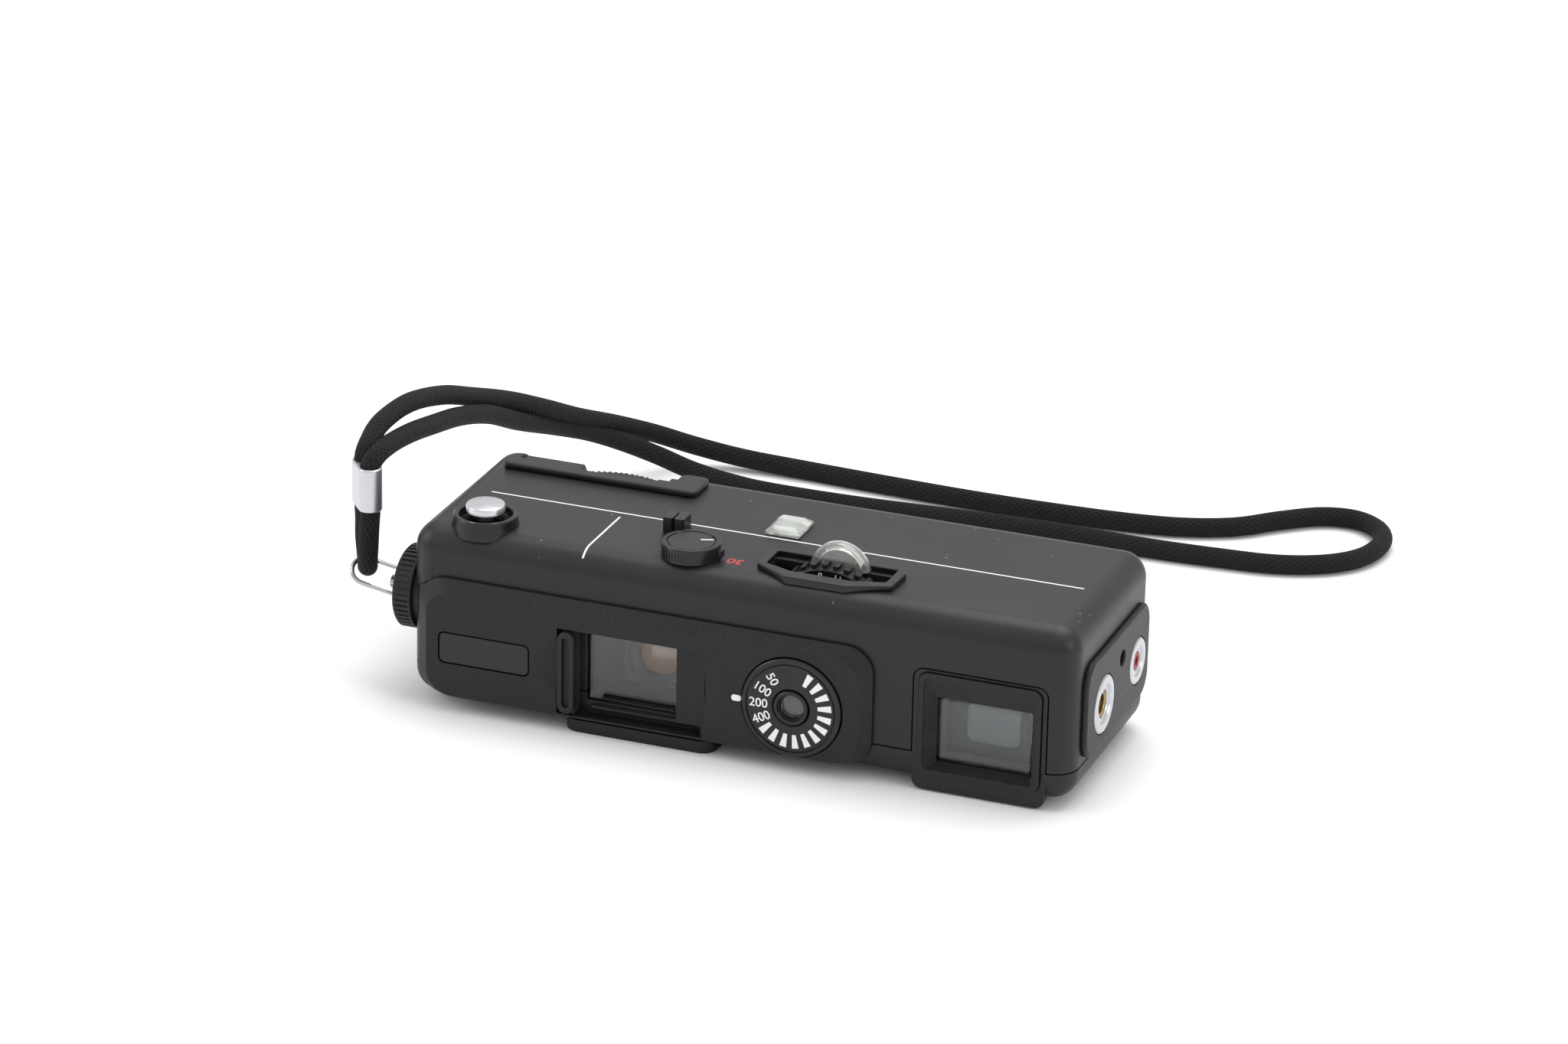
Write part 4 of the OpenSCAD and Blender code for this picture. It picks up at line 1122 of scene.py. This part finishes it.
@dataclass
class FrontPanel:
    """Grained panel with the name plate, the thumb dishes and the slot."""

    back: float = -18.01
    rim: float = -18.6
    face: float = -20.0
    axis_z: float = DIAL_AXIS[1]
    grip_x: float = -26.9
    grip_z: float = 10.2
    grip_half: float = 6.8

    def build(self) -> None:
        """Builds the panel, its blank plate, its index mark and the lens cover's grip."""
        face, grip = self.face, self.grip_x
        panel = Form.plate(
            Axis.Y, (-52.2, 22.6), (2.4, 21.9), (self.back, self.rim), 4.5,
            ((-50.4, 20.8), (2.8, 20.1), face)
        )
        left, low, high = grip - 1.6, self.grip_z - self.grip_half - 0.3, self.grip_z + self.grip_half + 0.3
        tools = [
            Form.box((left, face - 1, 5.1), (-9.0, self.back + 1, high)),
            Form.box((left, face - 1, 3.1), (-5.0, self.back + 1, 4.7)),
            Form.box((left, face - 1, low), (grip + 4, self.back + 1, 6.0)),
            Form.plate(Axis.Y, (-9.6, -4.3), (low, high), (face - 1, face + 0.7), 0.3),
            Form.box((grip + 3.8, face - 1, 4.4), (-9.4, face + 0.7, 5.4)),
            Form.rod(Axis.Y, DIAL_AXIS, (face - 1, self.back + 1), 8.2, steps=120),
            Form.plate(Axis.Y, (-48.4, -33.1), (8.2, 13.5), (face - 1, face + 0.8), 1.0),
            Form.plate(
                Axis.Y, (0.2, 2.0), (self.axis_z - 0.6, self.axis_z + 0.6), (face - 1, face + 0.3), 0.55
            ),
        ]
        for x in (grip + 0.2, grip + 20.6):
            tools.append(self._dish(x))
        settle(
            panel.cut(*tools), "front_panel_skin", GRAINED, ("front_panel",), edge=0.1, angle=25
        )
        plate = Form.plate(Axis.Y, (-48.2, -33.3), (8.4, 13.3), (face + 0.8, face + 0.05), 0.9)
        settle(plate, "blank_plate", PLATE, ("name_plate",), edge=0.15)
        mark = Form.plate(
            Axis.Y, (0.3, 1.9), (self.axis_z - 0.5, self.axis_z + 0.5), (face + 0.3, face - 0.05), 0.45
        )
        settle(mark, "dial_index", PAINT, ("index_mark",), edge=0.05)
        self._grip()

    def _dish(self, x: float) -> Form:
        """Makes the ball that hollows a thumb dish."""
        bm = bmesh.new()
        bmesh.ops.create_uvsphere(bm, u_segments=96, v_segments=64, radius=18.0)
        bmesh.ops.translate(bm, vec=(x, self.face - 17.2, self.axis_z), verts=bm.verts)
        return Form(bm)

    def _grip(self) -> None:
        """Builds the oval ring that slides the lens cover."""
        x, z, h = self.grip_x, self.grip_z, self.grip_half
        oval = Form.plate(
            Axis.Y, (x - 1.4, x + 1.4), (z - h, z + h), (self.face + 0.5, self.face - 0.5), 1.38
        )
        oval.cut(
            Form.plate(
                Axis.Y, (x - 0.55, x + 0.55), (z - h + 1, z + h - 1), (self.face - 1, self.face + 0.3), 0.54
            )
        )
        settle(oval, "cover_grip_ring", MOULDED, ("cover_grip",), edge=0.22, body="cover")
        dress_node("lens_cover", DEEP)


@dataclass
class LensUnit:
    """Recess behind the window, the lens and what drives it."""

    x: float = -15.5
    z: float = 10.9

    def build(self) -> None:
        """Builds the funnel, the front ring and the elements."""
        funnel = Form.box((-25.8, -15.8, 3.7), (-7.8, -9.5, 18.0))
        well = Form.plate(
            Axis.Y, (-24.6, -9.0), (4.9, 16.8), (-16.5, -15.6), 0.0, ((-20.8, -10.3), (6.4, 15.4), -10.7)
        )
        funnel.cut(well, Form.rod(Axis.Y, (self.x, self.z), (-12.0, -9.0), 4.7))
        settle(funnel, "lens_funnel", MOULDED, ("lens_surround",), edge=0.15)
        rim = Form.lathe(
            Axis.Y, (self.x, self.z),
            [(3.45, -9.4), (3.6, -10.05), (4.4, -10.1), (4.55, -9.95), (4.55, -9.3), (3.45, -9.3)]
        )
        settle(rim, "lens_rim", GLOSS)
        front = Form.lathe(
            Axis.Y, (self.x, self.z),
            [(0.0, -9.5), (1.2, -9.42), (2.2, -9.2), (3.0, -8.9), (3.43, -8.7), (3.43, -7.7), (0.0, -7.7)]
        )
        settle(front, "front_element", COATED, ("front_lens",), angle=50)
        pane = Form.box((-24.45, -16.75, 5.05), (-9.15, -15.95, 16.65), 0.2, 3)
        settle(pane, "lens_pane", GLASS, ("lens_window",))
        dress_node("lens_barrel", MOULDED)
        dress_node("rear_lens", GLASS)
        dress_node("shutter_blade", BLACK_STEEL)
        dress_node("aperture_blade", BLACK_STEEL)


@dataclass
class FilmSpeedDial:
    """Numbered dial round the light cell."""

    radius: float = 8.0
    face: float = -20.35
    figures: tuple[tuple[str, float], ...] = (("50", 126.0), ("100", 153.0), ("200", 180.0), ("400", 206.0))
    bars: int = 12
    first_bar: float = 62.0
    bar_step: float = -18.0

    def build(self) -> None:
        """Builds the disc, its figures and bars, and the cell in its middle."""
        f, r = self.face, self.radius
        profile = [
            (2.9, f + 0.25), (3.1, f + 0.05), (6.95, f), (7.05, f + 0.2), (7.25, f + 0.2), (7.35, f - 0.05),
            (r - 0.15, f - 0.05), (r, f + 0.1), (r, f + 1.5), (5.2, f + 1.5), (5.2, f + 4.9),
            (2.9, f + 4.9),
        ]
        disc = Form.lathe(Axis.Y, DIAL_AXIS, profile, 120)
        settle(disc, "dial_disc", GLOSS, ("asa_dial",), body="film_speed")
        marks = None
        for text, degrees in self.figures:
            figure = lettering(text, 1.45).turned(degrees - 180.0, Axis.Z, (0, 0, 0))
            figure = stand(figure, DIAL_AXIS, 5.25, degrees, f)
            marks = marks.add(figure) if marks else figure
        for k in range(self.bars):
            degrees = self.first_bar + self.bar_step * k
            bar = Form.prism(Axis.Z, [(-1.1, -0.3), (1.1, -0.55), (1.1, 0.55), (-1.1, 0.3)], (-0.02, 0.02))
            marks.add(stand(bar.turned(degrees, Axis.Z, (0, 0, 0)), DIAL_AXIS, 5.5, degrees, f))
        settle(marks, "dial_figures", PAINT, body="film_speed")
        hub = Form.lathe(Axis.Y, DIAL_AXIS, [
            (1.9, f + 4.4), (1.9, f + 0.75), (2.0, f + 0.2), (2.25, f - 0.2), (2.6, f - 0.25),
            (2.75, f - 0.1), (2.75, f + 4.4),
        ])
        settle(hub, "cell_hub", GLOSS, ("cell_bezel",))
        lens = Form.lathe(
            Axis.Y, DIAL_AXIS,
            [(0.0, f + 0.35), (0.9, f + 0.45), (1.85, f + 0.75), (1.85, f + 1.6), (0.0, f + 1.6)]
        )
        settle(lens, "cell_dome", GLASS, ("cell_lens",), angle=50)
        dress_node("photocell", SENSOR)


@dataclass
class Viewfinder:
    """Stepped bezel, the glass and the inner window."""

    x: Pair = (29.8, 49.3)
    z: Pair = (3.0, 19.6)
    glass_x: Pair = (32.3, 47.4)
    glass_z: Pair = (4.6, 15.1)
    front: float = -18.4

    def build(self) -> None:
        """Builds the bezel, its glass, the inner window and the eyepiece."""
        (x0, x1), (z0, z1) = self.x, self.z
        (gx0, gx1), (gz0, gz1) = self.glass_x, self.glass_z
        bezel = Form.plate(Axis.Y, self.x, self.z, (-16.5, self.front), 1.5)
        bezel.join(Form.box((x0 + 0.8, -16.6, z0 + 0.8), (x1 - 0.3, -14.6, z1 - 0.8)))
        steps = 8
        tools = [Form.box((gx0, -20.0, gz0), (gx1, -14.0, gz1))]
        for i in range(steps):
            t = i / steps
            tools.append(Form.plate(
                Axis.Y,
                (x0 + 0.8 + (gx0 - x0 - 0.8) * t, x1 - 0.7 - (x1 - 0.7 - gx1) * t),
                (z0 + 0.8 + (gz0 - z0 - 0.8) * t, z1 - 0.8 - (z1 - 0.8 - gz1) * t),
                (-20.0, self.front + 0.35 + 1.7 * t), 1.0 - 0.8 * t,
            ))
        settle(
            bezel.cut(*tools), "finder_bezel", MOULDED, ("viewfinder_bezel",), edge=0.06
        )
        pane = Form.box((gx0 + 0.05, -16.4, gz0 + 0.05), (gx1 - 0.05, -15.0, gz1 - 0.05), 0.55, 5)
        settle(pane, "finder_pane", GLASS, ("finder_glass",))
        (ex, ez) = EYE_AXIS
        inner = Form.plate(Axis.Y, (ex - 4.4, ex + 4.4), (ez - 3.4, ez + 3.4), (-11.0, -13.0), 1.6)
        settle(inner, "finder_inner_window", SMOKED, ("finder_objective",), edge=0.4)
        cup = Form.lathe(Axis.Y, EYE_AXIS, [
            (2.0, 17.0), (2.2, 19.4), (2.5, 20.5), (2.8, 20.7), (3.7, 20.7), (4.0, 20.4), (4.0, 20.1),
            (3.0, 20.05), (3.0, 15.7), (2.0, 15.7),
        ])
        settle(cup, "eyepiece_cup", MOULDED, ("eyepiece",))
        lens = Form.lathe(
            Axis.Y, EYE_AXIS, [(0.0, 17.9), (1.2, 17.8), (2.02, 17.5), (2.02, 16.6), (0.0, 16.6)]
        )
        settle(lens, "eyepiece_lens", GLASS)
        dress_node("finder_tube", DEEP)


@dataclass
class EndPanel:
    """Right-hand end with its two sockets."""

    back: float = 54.22
    face: float = 55.1

    def build(self) -> None:
        """Builds the grained panel and the metal rings."""
        panel = Form.plate(
            Axis.X, (-13.9, 17.0), (6.9, 22.4), (self.back, self.face - 0.3), 3.5,
            ((-13.5, 16.6), (7.3, 22.0), self.face)
        )
        panel.cut(
            Form.rod(Axis.X, FLASH_AXIS, (53.0, 56.0), 4.75),
            Form.rod(Axis.X, RELEASE_AXIS, (53.0, 56.0), 3.85),
            Form.rod(Axis.X, PIN_HOLE, (53.0, 56.0), PIN_RADIUS, steps=32),
        )
        settle(panel, "end_panel_skin", GRAINED, ("end_panel",), edge=0.15)
        self._socket("flash_socket_ring", FLASH_AXIS, 4.6, 3.15, ("flash_ring",))
        self._socket("release_socket_ring", RELEASE_AXIS, 3.7, 2.5, ("release_ring",))
        sleeve = ring(Axis.X, FLASH_AXIS, (52.0, 54.6), 2.14, 1.55, 0.12)
        sleeve.add(
            Form.lathe(
                Axis.X, FLASH_AXIS, [(0.0, 53.9), (0.3, 53.8), (0.5, 53.5), (0.5, 50.0), (0.0, 50.0)], 32
            )
        )
        settle(sleeve, "flash_sleeve", BRASS)
        tip = ring(Axis.X, RELEASE_AXIS, (52.0, 54.9), 1.49, 0.75, 0.12)
        settle(tip, "release_sleeve", RED_PLASTIC)
        dress_node("flash_contact", BRASS)
        dress_node("release_socket", RED_PLASTIC)

    def _socket(self, name: str, centre: Pair, outer: float, neck: float, replaces: Sequence[str]) -> None:
        """Builds a flush metal ring with a rolled inner lip.

        Args:
            name: name of the piece.
            centre: y and z of its axis.
            outer: outer radius.
            neck: radius of the neck in the wall.
            replaces: the CAD node that it stands for.
        """
        f = self.face + 0.1
        profile = [
            (neck - 1, 51.6), (neck - 1, f - 0.5), (neck - 0.85, f - 0.3), (neck - 0.2, f - 0.3),
            (neck, f - 0.05), (neck + 0.2, f),
            (outer - 0.25, f), (outer, f - 0.2), (outer, 54.3), (neck, 54.3), (neck, 51.6),
        ]
        settle(Form.lathe(Axis.X, centre, profile), name, SATIN_METAL, replaces)


# ---------------------------------------------------------------- top


@dataclass
class TopControls:
    """Shutter button, speed dial, exposure wheel and meter."""

    top: float = BODY_HIGH[2]
    wheel: Triple = (12.2, -9.6, 20.3)
    teeth: int = 36
    meter: tuple[Pair, Pair] = ((-2.5, 3.1), (0.6, 7.4))

    def build(self) -> None:
        """Builds all the pieces on the top."""
        self._shutter()
        self._speed()
        self._exposure()
        self._meter()

    def _shutter(self) -> None:
        """Builds the collar and the domed button."""
        t = self.top
        collar = Form.lathe(Axis.Z, BUTTON_AXIS, [
            (3.15, t - 1.1), (3.15, t + 0.3), (4.0, t + 0.3), (4.1, t + 0.4), (4.15, t + 1.65),
            (4.3, t + 1.8),
            (4.85, t + 1.8), (5.02, t + 1.62), (5.05, t + 0.5), (5.2, t + 0.1), (5.2, t - 1.1),
        ])
        body = body_block(lift=0.02)
        settle(collar.cut(body), "button_collar", GLOSS, ("shutter_collar",))
        cap = Form.lathe(Axis.Z, BUTTON_AXIS, [
            (0.0, t + 3.4), (2.75, t + 3.38), (2.95, t + 3.3), (3.05, t + 3.1), (3.05, t + 2.2),
            (2.9, t + 2.1),
            (1.2, t + 2.05), (1.2, t - 4.9), (2.4, t - 4.9), (2.4, t - 5.4), (0.0, t - 5.4),
        ])
        settle(cap, "button_cap", BUTTON_METAL, ("shutter_button",), body="release")
        dress_node("button_spring", STEEL)

    def _speed(self) -> None:
        """Builds the notched dial, its lever and its marks."""
        t = self.top
        x, y = SPEED_AXIS
        disc = Form.lathe(Axis.Z, SPEED_AXIS, [
            (0.0, t + 2.35), (3.55, t + 2.35), (3.65, t + 2.2), (3.8, t + 2.2), (3.9, t + 2.42),
            (4.45, t + 2.42), (4.6, t + 2.25),
            (4.6, t + 0.1), (1.5, t + 0.1), (1.5, t - 3.0), (0.0, t - 3.0),
        ], 96)
        notch = Form.box((x + 4.5, y - 0.09, t + 0.4), (x + 4.9, y + 0.09, t + 1.7))
        disc.cut(*spread(notch, 50, Axis.Z, (x, y, 0)))
        disc.join(
            Form.plate(Axis.Z, (x + 4.0, x + 5.2), (y - 0.7, y + 0.9), (t + 0.5, t + 1.7), 0.3),
            Form.prism(Axis.Z, [
                (x - 4.2, y - 0.4), (x - 4.7, y + 0.6), (x - 6.7, y + 4.7), (x - 6.7, y + 8.1),
                (x - 3.15, y + 8.1), (x - 3.0, y + 1.0),
            ], (t + 0.12, t + 1.03)),
        )
        disc.join(
            *[
                Form.plate(
                    Axis.Z, (x + k, x + k + 1.6), (y + 4.8, y + 8.1), (t + 0.9, t + 3.4), 0.3
                ) for k in (-6.7, -4.8)
            ]
        )
        settle(disc, "speed_dial_disc", GLOSS, ("speed_dial", "speed_cap"), body="shutter_speed")
        tick = Form.box((x + 1.4, y + 0.4, t + 2.34), (x + 3.4, y + 0.75, t + 2.37))
        tick.turned(20, Axis.Z, (x, y, 0))
        settle(tick, "speed_tick", PAINT, body="shutter_speed")
        figure = lettering("30", 1.9).turned(180, Axis.Z, (0, 0, 0))
        bmesh.ops.translate(figure.bm, vec=(-2.7, -11.3, t + 0.01), verts=figure.bm.verts)
        settle(figure, "speed_figure", RED_PAINT)

    def _exposure(self) -> None:
        """Builds the castellated wheel, its scale, its frame and the dome."""
        x, y, z = self.wheel
        t = self.top
        wheel = ring(Axis.Y, (x, z), (y - 0.6, y + 1.4), 10.6, 1.05, 0.12, 108)
        notch = Form.box((x - 0.46, y - 1.0, z + 9.9), (x + 0.46, y + 2.0, z + 11.0))
        notches = spread(notch, self.teeth, Axis.Y, (x, 0, z))
        settle(
            wheel.cut(*notches), "exposure_wheel_rim", MOULDED, ("exposure_wheel",),
            edge=0.06, body="exposure"
        )
        disc = ring(Axis.Y, (x, z), (y - 1.4, y - 0.62), 10.0, 1.05, 0.15)
        settle(disc, "scale_plate", GLOSS, ("scale_disc",), body="exposure")
        marks = None
        for degrees, text in ((98, "8"), (80, "11"), (116, "5.6"), (62, "16"), (134, "4")):
            figure = lettering(text, 1.1).turned(degrees - 90, Axis.Z, (0, 0, 0))
            stand(figure, (x, z), 8.9, degrees, y - 1.4)
            marks = marks.add(figure) if marks else figure
        settle(marks, "scale_figures", PAINT, body="exposure")
        outline = [
            (1.2, -12.4), (6.8, -15.8), (16.6, -15.7), (23.2, -12.9), (23.5, -7.3), (22.4, -5.6),
            (2.0, -5.6), (1.2, -7.2)
        ]
        hole = [(2.5, -11.7), (7.0, -13.3), (17.0, -13.3), (21.8, -11.7), (21.9, -6.5), (2.5, -6.5)]
        bezel = Form.prism(Axis.Z, outline, (t - 0.6, t + 0.95)).cut(
            Form.prism(Axis.Z, hole, (t - 2, t + 2)), body_block(lift=0.02),
        )
        settle(bezel, "wheel_frame", GLOSS, ("wheel_bezel",), edge=0.2)
        self._dome(x + 0.6, t - 0.6)
        dress_node("wheel_axle", STEEL)

    def _dome(self, x: float, z: float) -> None:
        """Builds the clear half-round window over the wheel."""
        outer = Form.lathe(
            Axis.Y, (x, z),
            [(0.0, -8.0), (4.2, -8.0), (4.65, -7.8), (4.8, -7.4), (4.8, -6.5), (4.6, -6.2), (0.0, -6.2)], 96
        )
        hollow = Form.rod(Axis.Y, (x, z), (-7.5, -6.0), 3.7, steps=96)
        outer.cut(hollow).cut(Form.box((0, -10, 20), (30, 0, self.top + 0.05)))
        settle(outer, "clear_dome", ACRYLIC, ("pointer_dome",), edge=0.08)

    def _meter(self) -> None:
        """Builds the faceted clear block in its dark frame."""
        t = self.top
        (x0, x1), (y0, y1) = self.meter
        block = Form.plate(
            Axis.Z, (x0, x1), (y0, y1), (t + 0.14, t + 0.6), 0.3, (
                (x0 + 1.0, x1 - 1.0), (y0 + 1.2, y1 - 1.2), t + 1.4
            ),
        )
        settle(block, "clear_block", ACRYLIC, ("meter_jewel",), edge=0.06)
        mirror = Form.plate(Axis.Z, (x0 + 0.2, x1 - 0.2), (y0 + 0.2, y1 - 0.2), (t + 0.02, t + 0.1), 0.3)
        settle(mirror, "block_backing", SATIN_METAL)
        dress_node("indicator_lamps", LAMP)


@dataclass
class Winder:
    """Raised moulding and the serrated thumb wheel."""

    centre: Pair = THUMB_AXIS
    radius: float = 13.3
    z: Pair = (25.2, 27.8)
    teeth: int = 90
    top: float = BODY_HIGH[2]

    def build(self) -> None:
        """Builds the moulding and the wheel, and dresses the film path."""
        t, x = self.top, self.centre[0]
        outline = [
            (-50.4, 10.7), (-50.1, 9.9), (-49.3, 9.6), (-18.7, 9.6), (-17.9, 9.9), (-17.6, 10.7),
            (-17.6, 15.4), (-17.9, 16.2),
            (-18.7, 16.5), (-21.2, 16.5), (-22.0, 16.2), (-22.3, 15.4), (-22.3, 12.8), (-49.3, 12.8),
            (-50.1, 12.5), (-50.4, 11.7),
        ]
        ridge = Form.prism(Axis.Z, outline, (t + 0.02, t + 1.12))
        ridge.cut(Form.box((x - 7.4, 11.8, t - 1), (x + 7.4, 21.0, t + 3)))
        settle(ridge, "winder_ridge", ENAMEL, ("winder_housing",), edge=0.35)
        lo, hi = self.z
        wheel = ring(Axis.Z, self.centre, (lo, hi), self.radius, 1.6, 0.25, 120)
        notch = Form.box(
            (x - 0.22, self.centre[1] + self.radius - 0.6, lo - 1),
            (x + 0.22, self.centre[1] + self.radius + 1, hi + 1)
        )
        notches = spread(notch, self.teeth, Axis.Z, (*self.centre, 0))
        settle(
            wheel.cut(*notches), "thumb_wheel_rim", MOULDED, ("thumb_wheel",), edge=0.08,
            body="winder"
        )
        for node, finish in (
            ("wheel_spindle", STEEL), ("takeup_spool", MOULDED), ("frame_counter", PAINT), (
                "film_cassette", MOULDED
            ),
            ("film_gate", DEEP), ("pressure_plate", STEEL), ("circuit_board", BOARD), ("battery", STEEL),
            ("battery_contact", BRASS), ("door_hinge", BLACK_STEEL), ("tripod_bush", STEEL),
        ):
            dress_node(node, finish)


@dataclass
class BatteryCap:
    """Ribbed cap on the left-hand end."""

    centre: Pair = CAP_AXIS
    radius: float = 6.6
    near: float = -54.3
    far: float = -57.6
    ribs: int = 44

    def build(self) -> None:
        """Builds the cap with its ribs and its hollow face."""
        r, near, far = self.radius, self.near, self.far
        cap = Form.lathe(Axis.X, self.centre, [
            (1.15, far + 0.5), (4.4, far + 0.5), (4.55, far + 0.1), (4.7, far), (r - 0.45, far),
            (r, far + 0.4),
            (r, near - 0.2), (r - 0.2, near), (5.75, near), (5.75, near + 2.4), (1.15, near + 2.4),
        ], 132)
        notch = Form.box(
            (far - 1, self.centre[0] - 0.2, self.centre[1] + r - 0.32),
            (near - 0.5, self.centre[0] + 0.2, self.centre[1] + r + 1)
        )
        notches = spread(notch, self.ribs, Axis.X, (0, *self.centre))
        settle(cap.cut(*notches), "ribbed_cap", MOULDED, ("battery_cap",), edge=0.06, body="cap")


# ---------------------------------------------------------------- stage


@dataclass
class Studio:
    """Floor, lights and camera."""

    lens: float = 138.94
    place: Triple = (0.29872, -0.80668, 0.38531)
    right: Triple = (0.9349, 0.3543, 0.0208)
    up: Triple = (-0.1527, 0.3484, 0.9248)
    back: Triple = (0.3204, -0.8678, 0.3798)

    def build(self) -> None:
        """Sets the camera, the floor and the soft lights."""
        self._camera()
        self._floor()
        self._lights()

    def _camera(self) -> None:
        """Sets the camera."""
        data = bpy.data.cameras.new("view")
        data.lens = self.lens
        data.sensor_width = 36.0
        data.sensor_fit = "HORIZONTAL"
        data.clip_start = 0.01
        camera = bpy.data.objects.new("view", data)
        link(camera)
        axes = [Vector(v).normalized() for v in (self.right, self.up, self.back)]
        turn = Matrix((axes[0], axes[1], axes[2])).transposed().to_4x4()
        camera.matrix_world = Matrix.Translation(self.place) @ turn
        bpy.context.scene.camera = camera

    def _floor(self) -> None:
        """Lays a wide pale floor."""
        bm = bmesh.new()
        bmesh.ops.create_grid(bm, x_segments=1, y_segments=1, size=3.0)
        mesh = bpy.data.meshes.new("floor")
        bm.to_mesh(mesh)
        bm.free()
        floor = bpy.data.objects.new("floor", mesh)
        link(floor)
        mesh.materials.append(FLOOR.material())

    def _lights(self) -> None:
        """Sets the bright surround and three soft lights."""
        world = bpy.data.worlds.new("surround")
        world.use_nodes = True
        world.node_tree.nodes["Background"].inputs["Color"].default_value = (1.0, 1.0, 1.0, 1.0)
        world.node_tree.nodes["Background"].inputs["Strength"].default_value = 0.8
        bpy.context.scene.world = world
        bpy.context.scene.view_settings.view_transform = "Standard"
        self._area("overhead", (0.05, 0.25, 0.8), (0.0, 0.0, 0.0), 0.7, 5.0)
        self._area("left", (-0.8, -0.3, 0.45), (0.0, 0.0, 0.02), 0.5, 2.0)
        self._area("right", (0.9, -0.2, 0.4), (0.0, 0.0, 0.02), 0.4, 1.6)

    @staticmethod
    def _area(name: str, place: Triple, target: Triple, size: float, power: float) -> None:
        """Adds a square soft light that looks at a point."""
        data = bpy.data.lights.new(name, "AREA")
        data.size = size
        data.energy = power
        lamp = bpy.data.objects.new(name, data)
        link(lamp)
        look = Vector(target) - Vector(place)
        lamp.matrix_world = Matrix.Translation(place) @ look.to_track_quat("-Z", "Y").to_matrix().to_4x4()


def main() -> None:
    """Builds the scene in order."""
    logging.basicConfig(level=logging.INFO, format="%(message)s")
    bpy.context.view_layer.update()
    parts = (
        Studio(), Strap(), Housing(), FrontPanel(), LensUnit(), FilmSpeedDial(), Viewfinder(),
        EndPanel(), TopControls(), Winder(), BatteryCap(),
    )
    for part in parts:
        LOG.info("building %s", type(part).__name__)
        part.build()


if __name__ == "__main__":
    main()
